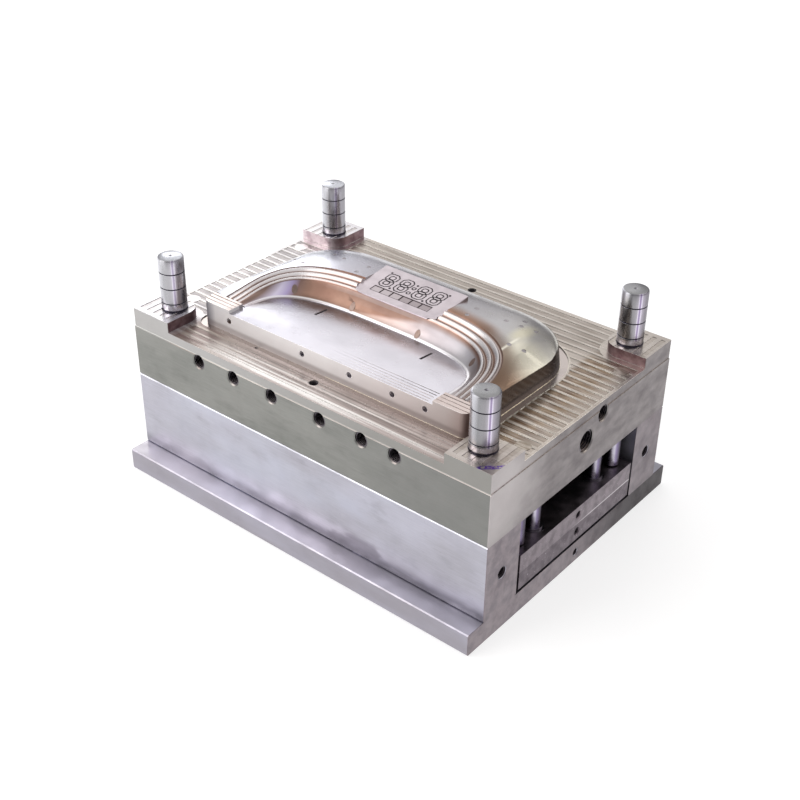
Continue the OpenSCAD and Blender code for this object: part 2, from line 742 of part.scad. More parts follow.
module ejector_retainer_plate() {
    color("#8c8483")
    difference() {
        block([base_l, ej_w, ej_retainer_t], [0, 0, z_ej_retainer]);
        for (c = CORNERS) {
            back = [c[1] * return_x, c[2] * return_y];
            hole(return_d + 2 * pass_gap, z_ej_retainer - 1, z_ej_top + 1, back);
            hole(return_head_d + 2 * pass_gap, z_ej_retainer - 1, z_ej_retainer + 8, back);
            hole(bush_flange_d + 2 * fit_gap, z_ej_retainer - 1, z_ej_top + 1, [c[1] * guide_x, c[2] * guide_y]);
        }
        for (p = support_xy) hole(support_d + 4, z_ej_retainer - 1, z_ej_top + 1, p);
        for (p = pin_places()) {
            hole(p[3] + 2 * pass_gap, z_ej_retainer - 1, z_ej_top + 1, p);
            hole(p[3] + 2 * pin_head_over + 2 * pass_gap, z_ej_retainer - 1, z_ej_retainer + pin_head_h, p);
        }
        for (p = blade_xy) {
            block([blade_t + 2 * pass_gap, blade_w + 2 * pass_gap, 40], [p[0], p[1], z_ej_retainer - 1]);
            block([blade_t + 5 + 2 * pass_gap, blade_w + 4 + 2 * pass_gap, pin_head_h + 1],
                  [p[0], p[1], z_ej_retainer - 1]);
        }
        for (p = plate_screw_xy) hole(plate_screw[0] + 2 * fit_gap, z_ej_retainer - 1, z_ej_retainer + plate_bite + 1, p);
        end_hole(plate_end_d, 25, 2, z_ej_retainer + ej_retainer_t / 2);
    }
}

module ejector_base_plate() {
    color("#8f8686")
    difference() {
        block([base_l, ej_w, ej_base_t], [0, 0, z_ej_base]);
        for (c = CORNERS)
            hole(bush_flange_d + 2 * fit_gap, z_ej_base - 1, z_ej_retainer + 1, [c[1] * guide_x, c[2] * guide_y]);
        for (p = support_xy) hole(support_d + 4, z_ej_base - 1, z_ej_retainer + 1, p);
        for (p = plate_screw_xy) {
            hole(plate_screw[0] + 2 * pass_gap, z_ej_base - 1, z_ej_retainer + 1, p);
            hole(plate_screw[1] + 2 * head_gap, z_ej_base - 1, z_ej_base + plate_screw[2] + head_gap, p);
        }
        end_hole(plate_end_d, 25, 2, z_ej_base + ej_base_t / 2);
    }
}

module support_pillar(p) {
    color("#a09ca0")
    difference() {
        hole(support_d, z_spacer, z_core, p);
        hole(small_screw[0] + 2 * fit_gap, z_spacer - 1, z_spacer + support_bite + 2, p);
    }
}

module ejector_pins() {
    color("#d2d2d8")
    for (p = pin_places()) {
        hole(p[3] + 2 * pin_head_over, z_ej_retainer, z_ej_retainer + pin_head_h, p);
        hole(p[3], z_ej_retainer, p[2], p);
    }
}

module ejector_blades() {
    color("#d2d2d8")
    for (p = blade_xy) {
        top = panel_level(p[1] + blade_w / 2) - 0.2;
        block([blade_t, blade_w, top - z_ej_retainer], [p[0], p[1], z_ej_retainer]);
        block([blade_t + 5, blade_w + 4, pin_head_h], [p[0], p[1], z_ej_retainer]);
    }
}

module rest_buttons() {
    color("#77747a")
    for (p = rest_xy) hole(rest_d, clamp_t, z_ej_base, p);
}

module clamp_screws() {
    color("#4c4a4f")
    for (p = clamp_screw_xy) screw(big_screw, 1, z_core + screw_bite - big_screw[2] - 1, p);
}

module support_screws() {
    color("#4c4a4f")
    for (p = support_xy) screw(small_screw, 1, clamp_t + support_bite - small_screw[2] - 1, p);
}

module core_screws() {
    color("#4c4a4f")
    for (p = core_screw_xy)
        screw(core_screw, z_core + 1, z_seat - z_core + core_bite - core_screw[2] - 1, p);
}

module ejector_plate_screws() {
    color("#4c4a4f")
    for (p = plate_screw_xy) screw(plate_screw, z_ej_base + 1, ej_base_t + plate_bite - plate_screw[2] - 1, p);
}

module display_screws() {
    color("#4c4a4f")
    for (p = display_screw_xy)
        screw(small_screw, z_seat + 1, display_floor - z_seat + display_bite - small_screw[2] - 1, p);
}

module spacer_dowels() {
    color("#c8c8ce")
    for (p = dowel_xy) hole(dowel_d, 1, z_spacer + dowel_reach, p);
}

clamp_plate();
spacer_block(-1);  // spacer_block_front
spacer_block(1);  // spacer_block_rear
core_plate();
core_block();
display_insert();
ejector_retainer_plate();
ejector_base_plate();
ejector_pins();
ejector_blades();
rest_buttons();
clamp_screws();
support_screws();
core_screws();
ejector_plate_screws();
display_screws();
spacer_dowels();
for (c = CORNERS) {
    guide_pillar(c);
    return_pin(c);
    ejector_guide_pin(c);
    ejector_guide_bush(c);
}
for (i = [1:len(support_xy)])
    support_pillar(support_xy[i - 1]);
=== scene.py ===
"""Looks of an injection mould's moving half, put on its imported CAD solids.

The scene is in metres. Places, sizes and patterns of the mould are in millimetres.
"""

import json
import math

import bmesh
import bpy
from mathutils import Matrix, Vector
from mathutils.bvhtree import BVHTree


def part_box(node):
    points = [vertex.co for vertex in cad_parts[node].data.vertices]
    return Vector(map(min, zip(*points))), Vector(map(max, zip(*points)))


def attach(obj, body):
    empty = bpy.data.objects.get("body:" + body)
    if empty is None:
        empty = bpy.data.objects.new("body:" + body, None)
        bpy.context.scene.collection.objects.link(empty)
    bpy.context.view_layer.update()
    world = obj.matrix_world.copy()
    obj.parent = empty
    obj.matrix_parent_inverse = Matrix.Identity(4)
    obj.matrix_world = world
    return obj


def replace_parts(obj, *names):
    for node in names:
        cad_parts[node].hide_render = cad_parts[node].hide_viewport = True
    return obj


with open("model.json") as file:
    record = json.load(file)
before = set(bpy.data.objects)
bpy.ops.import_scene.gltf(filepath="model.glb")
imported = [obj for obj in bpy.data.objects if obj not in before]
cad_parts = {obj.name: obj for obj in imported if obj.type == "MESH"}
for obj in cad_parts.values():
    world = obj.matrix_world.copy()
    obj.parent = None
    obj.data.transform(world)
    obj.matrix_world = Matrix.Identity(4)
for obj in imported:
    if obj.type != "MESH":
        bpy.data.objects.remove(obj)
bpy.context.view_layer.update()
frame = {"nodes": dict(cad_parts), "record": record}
nodes = frame["nodes"]
mounts = {mount["name"]: mount for mount in frame["record"]["mounts"]}
MM = 0.001
WELD = 0.00001


def extent(name):
    """Lowest and highest corner of a CAD node, in millimetres."""
    return [[round(c / MM, 1) for c in corner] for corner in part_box(name)]


def top_of(name):
    return extent(name)[1][2]


def centre(name):
    """Middle of a CAD node seen from above, in millimetres."""
    low, high = extent(name)
    return [(low[k] + high[k]) / 2 for k in (0, 1)]


# Faces and levels of the mould, in millimetres
END_X = extent("core_plate")[1][0]
FRONT_Y = extent("core_plate")[0][1]
LEDGE_Y = extent("clamp_plate")[0][1]
Z_CLAMP = top_of("clamp_plate")
Z_EJECTOR_SEAM = top_of("ejector_base_plate")
Z_EJECTOR_TOP = top_of("ejector_retainer_plate")
Z_PLATE = extent("core_plate")[0][2]
Z_BAND = 221
Z_PART = top_of("return_pin_front_right")
Z_PAD = top_of("core_plate")
Z_TIP = top_of("guide_pillar_front_right")

# Radii of the upright bars
PILLAR_RADIUS = mounts["guide_pillar_rear_right"]["dims"]["r_mm"]
RETURN_PIN_RADIUS = 10
GUIDE_PIN_RADIUS = 9

# The core's arches, which open towards -Y at ARCH_Y: half width, depth, power
ARCH_Y = -117
PANEL_ARCH = (170, 92, 3.3)
INNER_RIB_ARCH = (180, 106.5, 3.6)
OUTER_RIB_ARCH = (204.9, 136.8, 3.4)
RIB_COUNT = 3
WALL_BACK_Y = -125
STRIP_Y = -142

# Ink on the front right pad; places of painted highlights: the gleam on the plate's end and the crease of
# the dome;
# and the side of the upright bars that their painted reflection streaks are counted from
INK_PLACE = (288, -189)
GLEAM_PLACE = (-196, 214)
CREASE_PLACE = (172, 40)
PAINTED_REFLECTION_SIDE = (0.777, 0.629)

# The display insert: its face passes through one place at a tilt, with a row of windows along it
DISPLAY_Y = 26
DISPLAY_Z = 283.5
DISPLAY_TILT = math.radians(6)
WINDOWS_X = (-52, 46)
WINDOWS_Y = (2.2, 14.9)
WINDOW_PITCH = 16.4

# Thread ridges: pitch by the hole's radius, distance of the first turn from the mouth, steps in a turn,
# and the ridge's depth in the wall and its own radius as shares of the pitch
THREAD_PITCH = {5: 1.5, 6.25: 1.8, 8: 2, 9.75: 2.3, 11: 2.5, 15: 3.5}
THREAD_START = 1.8
THREAD_STEPS = 28
RIDGE_INSET = 0.22
RIDGE_RADIUS = 0.46
PORT_TURNS = 7
HOLE_TURNS = 8

# Socket head cap screws, which stand on their heads above the clamp plate's bottom face
SCREW_Z = 1
CLAMP_SCREW = {"shank": 16, "head": 24, "height": 16, "length": 153, "socket": 14}
SUPPORT_SCREW = {"shank": 8, "head": 13, "height": 8, "length": 43, "socket": 6}
SOCKET_DEPTH = 0.55
HEAD_CHAMFER = 0.8
END_CHAMFER = 1

# Fitted ejector pins: head height, how far a tip lies under the core's surface, and the circle of
# places round a tip where that surface is felt
PIN_HEAD = 5
TIP_GAP = 0.12
TIP_MARGIN = 0.7
TIP_SAMPLES = 16

# Camera at the photograph's angle, in metres
CAMERA_PLACE = (0.94144, -1.15457, 1.07006)
CAMERA_FORWARD = (-0.5323, 0.6564, -0.5346)
CAMERA_UP = (-0.34755, 0.40638, 0.84502)
CAMERA_LENS = 57.464

# Studio: sky tones from the horizon up, and softboxes by place, target, size, power and tint
SKY = [
    (0, (0.34, 0.33, 0.35)), (0.2, (0.40, 0.39, 0.41)), (0.42, (0.62, 0.61, 0.62)),
    (0.75, (0.95, 0.94, 0.94)), (1, (1.0, 0.99, 0.98)),
]
SKY_STRENGTH = 0.8
SOFTBOXES = {
    "key_softbox": ((-1.75, -2.1, 2.1), (0, 0, 0.2), 2.6, 34, (1, 0.98, 0.97)),
    "window_softbox": ((-1.9, 2.2, 1.75), (0, 0, 0.23), 2.4, 9, (0.98, 0.98, 1)),
    "left_softbox": ((-2.5, 1.8, 1.4), (-0.25, 0, 0.23), 0.9, 5, (0.98, 0.99, 1)),
    "rear_softbox": ((1.7, 2.1, 1.9), (0.1, 0, 0.25), 1.8, 13, (1, 0.99, 0.97)),
    "front_softbox": ((-1.5, -2.4, 0.95), (0, -0.1, 0.25), 2.2, 20, (1, 0.985, 0.98)),
}
FLOOR_SIZE = 12


# Camera and studio
def add_camera():
    forward = Vector(CAMERA_FORWARD).normalized()
    right = forward.cross(Vector(CAMERA_UP)).normalized()
    up = right.cross(forward)
    data = bpy.data.cameras.new("photo_camera")
    data.lens = CAMERA_LENS
    data.sensor_width = 36
    data.clip_end = 60
    camera = bpy.data.objects.new("photo_camera", data)
    turn = Matrix((right, up, -forward)).transposed().to_4x4()
    camera.matrix_world = Matrix.Translation(CAMERA_PLACE) @ turn
    bpy.context.scene.collection.objects.link(camera)
    bpy.context.scene.camera = camera


def add_softbox(name, place, target, size, power, tint):
    data = bpy.data.lights.new(name, "AREA")
    data.shape = "SQUARE"
    data.size = size
    data.energy = power
    data.color = tint
    lamp = bpy.data.objects.new(name, data)
    aim = (Vector(target) - Vector(place)).to_track_quat("-Z", "Y")
    lamp.matrix_world = Matrix.Translation(place) @ aim.to_matrix().to_4x4()
    bpy.context.scene.collection.objects.link(lamp)


def fill_ramp(elements, stops):
    """Gives a new colour ramp its stops: places from 0 to 1, each with a colour."""
    for place, color in stops[1:-1]:
        elements.new(place).color = (*color, 1)
    elements[0].color = (*stops[0][1], 1)
    elements[len(elements) - 1].color = (*stops[-1][1], 1)


def add_studio():
    world = bpy.data.worlds.new("studio")
    bpy.context.scene.world = world
    world.use_nodes = True
    tree = world.node_tree
    back = tree.nodes["Background"]
    back.inputs["Strength"].default_value = SKY_STRENGTH
    where = tree.nodes.new("ShaderNodeTexCoord")
    split = tree.nodes.new("ShaderNodeSeparateXYZ")
    shade = tree.nodes.new("ShaderNodeValToRGB")
    fill_ramp(shade.color_ramp.elements, SKY)
    tree.links.new(where.outputs["Generated"], split.inputs[0])
    tree.links.new(split.outputs["Z"], shade.inputs[0])
    tree.links.new(shade.outputs[0], back.inputs["Color"])
    for name, settings in SOFTBOXES.items():
        add_softbox(name, *settings)


# Colours and material building
def tone(red, green, blue):
    """A colour named by how it looks, 0 to 255 each, as the shader's linear numbers."""
    return tuple(((c / 255 + 0.055) / 1.055) ** 2.4 if c > 10 else c / 3295 for c in (red, green, blue))


def grey(level):
    return (level, level, level)


def scaled(color, factor):
    """The colour made brighter or darker."""
    return tuple(min(1, c * factor) for c in color)


class Finish:
    """One node material whose patterns read object coordinates, in millimetres."""

    def __init__(self, name, metallic=1.0):
        self.material = bpy.data.materials.new(name)
        self.material.use_nodes = True
        self.tree = self.material.node_tree
        self.shader = self.tree.nodes["Principled BSDF"]
        self.shader.inputs["Metallic"].default_value = metallic
        place = self.node("ShaderNodeTexCoord").outputs["Object"]
        scaled = self.node("ShaderNodeVectorMath", operation="SCALE")
        scaled.inputs["Scale"].default_value = 1 / MM
        self.link(place, scaled.inputs[0])
        self.mm = scaled.outputs[0]
        parts = self.node("ShaderNodeSeparateXYZ")
        self.link(self.mm, parts.inputs[0])
        self.x, self.y, self.z = parts.outputs

    def node(self, kind, **settings):
        made = self.tree.nodes.new(kind)
        for key, value in settings.items():
            setattr(made, key, value)
        return made

    def link(self, source, socket):
        """Feeds a socket from another one, or with a plain number or colour."""
        if isinstance(source, (int, float, tuple)):
            socket.default_value = source
        else:
            self.tree.links.new(source, socket)

    # Sums on values
    def math(self, operation, a, b=0.0):
        made = self.node("ShaderNodeMath", operation=operation)
        self.link(a, made.inputs[0])
        self.link(b, made.inputs[1])
        return made.outputs[0]

    def plus(self, a, b):
        return self.math("ADD", a, b)

    def minus(self, a, b):
        return self.math("SUBTRACT", a, b)

    def times(self, a, b):
        return self.math("MULTIPLY", a, b)

    def size_of(self, value):
        return self.math("ABSOLUTE", value)

    def length(self, a, b):
        """Length of a vector with these two parts."""
        return self.math("SQRT", self.plus(self.times(a, a), self.times(b, b)))

    def distance(self, place, stretch=(1, 1), plane="xy"):
        """Distance in one plane from a place, in millimetres."""
        u, v = (getattr(self, axis) for axis in plane)
        along_u = self.times(self.minus(u, place[0]), stretch[0])
        along_v = self.times(self.minus(v, place[1]), stretch[1])
        return self.length(along_u, along_v)

    # Masks, from 0 to 1
    def all_of(self, *masks):
        out = masks[0]
        for mask in masks[1:]:
            out = self.times(out, mask)
        return out

    def either(self, a, b):
        return self.math("MAXIMUM", a, b)

    def no(self, mask):
        return self.minus(1.0, mask)

    def ramp(self, value, low, high, out_low=0.0, out_high=1.0, smooth=True):
        """Turns the span low to high into out_low to out_high, and holds beyond it."""
        made = self.node("ShaderNodeMapRange", interpolation_type="SMOOTHSTEP" if smooth else "LINEAR")
        made.inputs["From Min"].default_value = low
        made.inputs["From Max"].default_value = high
        made.inputs["To Min"].default_value = out_low
        made.inputs["To Max"].default_value = out_high
        self.link(value, made.inputs["Value"])
        return made.outputs[0]

    def above(self, value, level, soft=0.4):
        return self.ramp(value, level - soft, level + soft)

    def below(self, value, level, soft=0.4):
        return self.ramp(value, level - soft, level + soft, 1.0, 0.0)

    def between(self, value, low, high, soft=0.4):
        return self.times(self.above(value, low, soft), self.below(value, high, soft))

    # Patterns
    def stretched(self, scale, offset=(0, 0, 0)):
        made = self.node("ShaderNodeMapping")
        made.inputs["Scale"].default_value = scale
        made.inputs["Location"].default_value = offset
        self.link(self.mm, made.inputs["Vector"])
        return made.outputs[0]

    def noise(self, size, stretch=(1, 1, 1), detail=3.0, offset=(0, 0, 0), contrast=None):
        """Soft noise whose blobs are about size millimetres, longer where stretch is above 1."""
        made = self.node("ShaderNodeTexNoise")
        made.inputs["Scale"].default_value = 1.0
        made.inputs["Detail"].default_value = detail
        made.inputs["Roughness"].default_value = 0.55
        scale = tuple(1 / (size * s) for s in stretch)
        self.link(self.stretched(scale, offset), made.inputs["Vector"])
        value = made.outputs[0]
        return value if contrast is None else self.ramp(value, *contrast)

    def arch(self, half_width, depth, power):
        """1 on a rounded arch open towards -Y, as the core's ribs run; less inside it."""
        wide = self.math("DIVIDE", self.size_of(self.x), half_width)
        deep = self.math("DIVIDE", self.math("MAXIMUM", self.minus(self.y, ARCH_Y), 0.0), depth)
        total = self.plus(self.math("POWER", wide, power), self.math("POWER", deep, power))
        return self.math("POWER", total, 1 / power)

    def share(self, inner, outer):
        """0 where field inner is 1, rising to 1 where field outer is 1."""
        past = self.minus(inner, 1.0)
        left = self.minus(1.0, outer)
        return self.math("DIVIDE", past, self.plus(past, left))

    def bore(self, name):
        """1 on the inside of a threaded hole drilled along X, and of its mirror image in Y."""
        _, y, z = (c / MM for c in mounts[name]["pos_m"])
        away = self.length(self.minus(self.size_of(self.y), abs(y)), self.minus(self.z, z))
        on_wall = self.below(away, mounts[name]["dims"]["r_mm"] + 0.3, 0.1)
        return self.all_of(on_wall, self.below(self.size_of(self.x), END_X - 1.1, 0.2))

    def normal_part(self, axis):
        """How far the face looks along an axis, from -1 to 1."""
        facing = self.node("ShaderNodeNewGeometry").outputs["True Normal"]
        parts = self.node("ShaderNodeSeparateXYZ")
        self.link(facing, parts.inputs[0])
        return parts.outputs["XYZ".index(axis)]

    def edge_lines(self, radius_mm, low=0.004, high=0.03):
        """1 close to the geometry's sharp edges, 0 away from them."""
        rounded = self.node("ShaderNodeBevel", samples=6)
        rounded.inputs["Radius"].default_value = radius_mm * MM
        both = self.node("ShaderNodeVectorMath", operation="DOT_PRODUCT")
        self.link(rounded.outputs[0], both.inputs[0])
        self.link(self.node("ShaderNodeNewGeometry").outputs["Normal"], both.inputs[1])
        return self.ramp(self.minus(1.0, both.outputs["Value"]), low, high)

    # Colours
    def mix(self, factor, a, b):
        """Colour a where the factor is 0, colour b where it is 1."""
        made = self.node("ShaderNodeMix", data_type="RGBA", blend_type="MIX")
        self.link(factor, made.inputs[0])
        self.link(a if not isinstance(a, tuple) else (*a, 1.0), made.inputs[6])
        self.link(b if not isinstance(b, tuple) else (*b, 1.0), made.inputs[7])
        return made.outputs[2]

    def over(self, base, color, mask, strength=1.0):
        """Lays a colour over the base where a mask is 1, as strongly as strength says."""
        return self.mix(mask if strength == 1.0 else self.times(mask, strength), base, color)

    def ladder(self, value, stops):
        """Colour by value: stops are (value, colour), evenly mixed in between."""
        low, high = stops[0][0], stops[-1][0]
        made = self.node("ShaderNodeValToRGB")
        fill_ramp(made.color_ramp.elements, [((at - low) / (high - low), color) for at, color in stops])
        self.link(self.ramp(value, low, high, smooth=False), made.inputs[0])
        return made.outputs[0]

    # What the shader takes
    def color(self, value):
        self.link(value, self.shader.inputs["Base Color"])

    def metal(self, value):
        self.link(value, self.shader.inputs["Metallic"])

    def roughness(self, value):
        self.link(value, self.shader.inputs["Roughness"])

    def bump(self, height, depth_mm, strength, edges):
        """Raises the surface by height, where 1 stands for depth_mm millimetres, after the soft edges."""
        made = self.node("ShaderNodeBump")
        made.inputs["Strength"].default_value = strength
        made.inputs["Distance"].default_value = depth_mm * MM
        self.link(height, made.inputs["Height"])
        self.link(edges, made.inputs["Normal"])
        self.link(made.outputs[0], self.shader.inputs["Normal"])

    def soft_edges(self, radius_mm):
        """Lets light catch the edges as if they were slightly rounded."""
        made = self.node("ShaderNodeBevel", samples=4)
        made.inputs["Radius"].default_value = radius_mm * MM
        self.link(made.outputs[0], self.shader.inputs["Normal"])
        return made.outputs[0]


# Frame plates
def ground_steel(name, pale, dull):
    """Flat ground steel: fine grain, cloudy tone, small dark marks and soft edges."""
    f = Finish(name)
    clouds = f.noise(90, (1.6, 1.6, 0.8), 4, contrast=(0.35, 0.68))
    smudges = f.noise(24, (1.5, 1.5, 0.7), 4, offset=(40, 9, 3), contrast=(0.5, 0.78))
    specks = f.noise(2.2, detail=1, contrast=(0.72, 0.8))
    grain = f.noise(0.7, (30, 30, 1), 2)
    base = f.mix(clouds, pale, dull)
    base = f.over(base, scaled(dull, 0.62), smudges, 0.35)
    base = f.over(base, (0.12, 0.11, 0.11), specks, 0.5)
    base = f.over(base, scaled(pale, 1.35), f.ramp(grain, 0.3, 0.7, 0, 0.22))
    f.roughness(f.ramp(f.noise(30, detail=4), 0.3, 0.75, 0.29, 0.48))
    f.bump(grain, 0.03, 0.5, f.soft_edges(0.5))
    return f, base


def spacer_stains_gleam_and_shade(f, base):
    """A painted cool gleam across the spacer's middle, dark stains where it stands on the clamp plate, and
    painted shade darkening its foot.
    """
    clouds = f.noise(120, (1.4, 1, 0.6), 2, offset=(7, 0, 2), contrast=(0.35, 0.65))
    # Painted highlight: a cool gleam across the middle.
    middle = f.all_of(clouds, f.ramp(f.x, -END_X, -140), f.ramp(f.x, 60, 220, 1, 0.2))
    base = f.over(base, tone(202, 206, 220), middle, 0.5)
    patches = f.noise(22, (3, 3, 1), contrast=(0.25, 0.52))
    low = f.all_of(f.between(f.z, Z_CLAMP + 1, Z_CLAMP + 12, 9), patches, f.ramp(f.x, -260, 60, 0.5, 1))
    base = f.over(base, tone(96, 94, 102), low, 0.85)
    on_spacer = f.above(f.z, Z_CLAMP + 0.5, 0.3)
    wander = f.ramp(f.noise(45, (2.5, 1, 1), 4, offset=(3, 1, 9)), 0.35, 0.65, -14, 14)
    stain = f.all_of(on_spacer, f.below(f.plus(f.z, wander), Z_CLAMP + 15, 7),
                     f.ramp(f.x, -250, -60, 0, 1), f.ramp(f.x, 120, 290, 1, 0.5))
    base = f.over(base, tone(118, 115, 122), stain, 0.7)
    # Painted shade: darker towards the foot of the spacer.
    painted_foot_shade = f.all_of(on_spacer, f.ramp(f.z, Z_CLAMP + 1, Z_CLAMP + 30, 1, 0))
    return f.over(base, tone(120, 118, 128), painted_foot_shade, 0.35)


def clamp_plate_faces(f, base):
    """Painted highlights along the seam and the rim, the clamp plate's front edge, and the ledge in front of
    the spacer.
    """
    # Painted highlight along the seam between the spacers and the core plate.
    seam = f.between(f.z, Z_PLATE - 1.8, Z_PLATE + 1, 0.5)
    base = f.over(base, tone(235, 238, 245), seam, 0.2)
    # Painted highlight along the front rim of the clamp plate's top.
    rim = f.all_of(f.between(f.z, Z_CLAMP - 2.2, Z_CLAMP + 0.5, 0.7), f.below(f.y, LEDGE_Y + 3, 2))
    base = f.over(base, tone(235, 235, 245), rim, 0.5)
    edge = f.all_of(f.below(f.z, Z_CLAMP + 0.2, 0.2), f.below(f.y, LEDGE_Y + 1.5))
    clouds = f.noise(40, (3, 1, 0.6), 3, contrast=(0.3, 0.7))
    base = f.over(base, f.mix(clouds, tone(172, 169, 180), tone(162, 158, 166)), edge)
    ledge = f.all_of(f.below(f.z, Z_CLAMP + 0.6, 0.2),
                     f.above(f.y, LEDGE_Y + 1.5), f.below(f.y, FRONT_Y - 1, 1))
    return f.over(base, f.mix(f.ramp(f.x, 0, 240), tone(206, 202, 209), tone(182, 180, 187)), ledge)


def frame_ends(f, base):
    """Right ends of the plates in painted shade: warmer, darker to the rear and on the clamp plate; and
    painted shade in their holes.
    """
    # Painted shade: the right ends darker than the fronts, more so to the rear and low on the clamp plate.
    warm = f.mix(f.noise(14, detail=4, contrast=(0.3, 0.72)), tone(150, 140, 144), tone(124, 116, 122))
    warm = f.over(warm, tone(102, 94, 98), f.ramp(f.y, 60, -FRONT_Y, 0, 0.5))
    warm = f.over(warm, tone(42, 35, 39), f.all_of(f.below(f.z, Z_CLAMP), f.ramp(f.y, -60, 150, 0, 0.9)))
    base = f.over(base, warm, f.above(f.x, END_X - 0.7, 0.3))
    # Painted shade inside the threaded holes.
    painted_hole_shade = f.either(f.bore("spacer_hole_rear_right"), f.bore("clamp_plate_hole_right"))
    return f.over(base, tone(88, 82, 86), painted_hole_shade)


def frame_steel():
    """Clamp plate and spacer blocks: cool ground steel, smudged dark and painted with shade low down, warmer
    and darker at the ends as painted shade.
    """
    f, base = ground_steel("ground_frame_steel", tone(186, 185, 196), tone(172, 170, 178))
    f.color(frame_ends(f, clamp_plate_faces(f, spacer_stains_gleam_and_shade(f, base))))
    return f


# Core plate
def plate_sides(f, side):
    """Outer faces: darker to the right, a paler band on top with a painted highlight along its step, and a
    warm right end in painted shade with a painted gleam.
    """
    side = f.over(side, tone(130, 130, 128), f.ramp(f.x, 0, 260, 0, 0.6))
    band = f.all_of(f.above(f.z, Z_BAND, 0.3), f.below(f.y, FRONT_Y + 2))
    side = f.over(side, f.mix(f.ramp(f.x, -250, 250), tone(184, 182, 181), tone(152, 150, 146)), band, 0.85)
    # Painted shade: the right end darker than the front, with a painted gleam near its front top and the
    # step's highlight painted out.
    warm = f.mix(f.noise(15, (1, 2, 1), 5, contrast=(0.24, 0.8)), tone(146, 140, 140), tone(112, 106, 108))
    gleam = f.ramp(f.distance(GLEAM_PLACE, plane="yz"), 30, 135, 0.9, 0)
    warm = f.over(warm, tone(190, 184, 184), gleam)
    warm = f.over(warm, tone(112, 106, 107), f.between(f.z, Z_BAND - 0.7, Z_BAND + 0.7, 0.3), 0.6)
    side = f.over(side, warm, f.above(f.x, END_X - 1.2, 0.3))
    # Painted highlight along the step at the top of the band.
    line = f.all_of(f.between(f.z, Z_BAND - 0.6, Z_BAND + 0.3, 0.25),
                    f.ramp(f.x, -END_X, 60, 1, 0.35), f.below(f.x, END_X - 1))
    return f.over(side, tone(240, 242, 236), line, 0.8)


def pad_wall_reflections(f, side):
    """Inner walls of the corner pads: a dark painted reflection, but pale with a painted highlight at the
    rear left.
    """
    outside = f.either(f.above(f.x, END_X - 1.4, 0.2), f.below(f.y, FRONT_Y + 1.4, 0.2))
    # Painted reflection: dark brownish walls, and a pale painted highlight on the rear left pad.
    wall = f.mix(f.noise(12, contrast=(0.3, 0.7)), tone(150, 128, 132), tone(112, 88, 94))
    pale = f.mix(f.noise(10, contrast=(0.4, 0.65)), tone(226, 212, 216), tone(190, 172, 178))
    wall = f.over(wall, pale, f.all_of(f.below(f.x, -240, 8), f.above(f.y, 100)))
    return f.over(side, wall, f.all_of(f.between(f.z, Z_PART + 0.3, Z_PAD - 0.2, 0.2), f.no(outside)))


def plate_inside_shade(f, side):
    """Holes and pocket within the plate: painted shade, nearly black."""
    within_y = f.below(f.size_of(f.y), -FRONT_Y - 1.6, 0.2)
    within_x = f.below(f.size_of(f.x), END_X - 1.7, 0.2)
    return f.over(side, tone(30, 28, 30), f.all_of(f.below(f.z, Z_BAND + 0.5), within_y, within_x))


def milled_stripes(f, floor):
    """Cream ridges and groove floors, with brown oxide at the right, painted shade in the groove floors at
    the left, and painted highlights along the edges.
    """
    cream = f.mix(f.noise(60, (2, 1, 1), contrast=(0.35, 0.7)), tone(178, 168, 158), tone(158, 146, 136))
    rust = f.mix(f.noise(26, (1, 0.7, 1), 4, contrast=(0.35, 0.66)), tone(132, 108, 80), tone(92, 66, 42))
    cream = f.over(cream, rust, f.all_of(floor, f.ramp(f.x, 222, 232), f.ramp(f.x, 262, 292, 1, 0.35)))
    ridge = f.all_of(f.no(floor), f.noise(30, (3, 1, 1), contrast=(0.3, 0.6)))
    cream = f.over(cream, tone(228, 216, 202), ridge, 0.35)
    # Painted shade at the left end: greyer ridges and darker groove floors.
    bright = f.mix(floor, tone(196, 193, 197), tone(128, 124, 128))
    cream = f.over(cream, bright, f.ramp(f.x, -232, -214, 0.85, 0))
    # Painted highlights along the ridges' edges.
    lines = f.all_of(f.edge_lines(0.9), f.between(f.z, Z_PART - 1, Z_PAD + 1), f.above(f.y, STRIP_Y + 2, 3))
    return f.over(cream, tone(255, 251, 238), lines, 0.95)


def front_strip(f, cream):
    """Rubbed strip in front of the core: brushed, with streaks and scores, and a brown painted reflection of
    the pad wall at its left.
    """
    strip = f.all_of(f.below(f.y, STRIP_Y, 6), f.above(f.x, -150, 90))
    brushed = f.noise(9, (40, 1, 1), 3, contrast=(0.35, 0.65))
    cream = f.over(cream, f.mix(brushed, tone(212, 199, 196), tone(166, 152, 148)), strip, 0.8)
    streaks = f.noise(6, (60, 1, 1), 2, contrast=(0.42, 0.58))
    place = f.all_of(f.between(f.y, -196, -168, 5), f.ramp(f.x, 100, 280, 1, 0.3))
    cream = f.over(cream, tone(250, 246, 242), f.all_of(strip, streaks, place))
    scores = f.noise(3.5, (70, 1, 1), 2, offset=(5, 31, 2), contrast=(0.5, 0.6))
    cream = f.over(cream, tone(122, 108, 103), f.all_of(strip, scores, f.above(f.y, -182, 4)), 0.6)
    # Painted reflection of the front left pad's wall, in brown streaks.
    painted_wall_reflection = f.noise(6, (30, 1, 1), 3, contrast=(0.38, 0.56))
    place = f.all_of(f.below(f.y, STRIP_Y - 1, 3), f.between(f.x, -232, -168, 16))
    return f.over(cream, tone(118, 92, 88), f.all_of(place, painted_wall_reflection), 0.75)


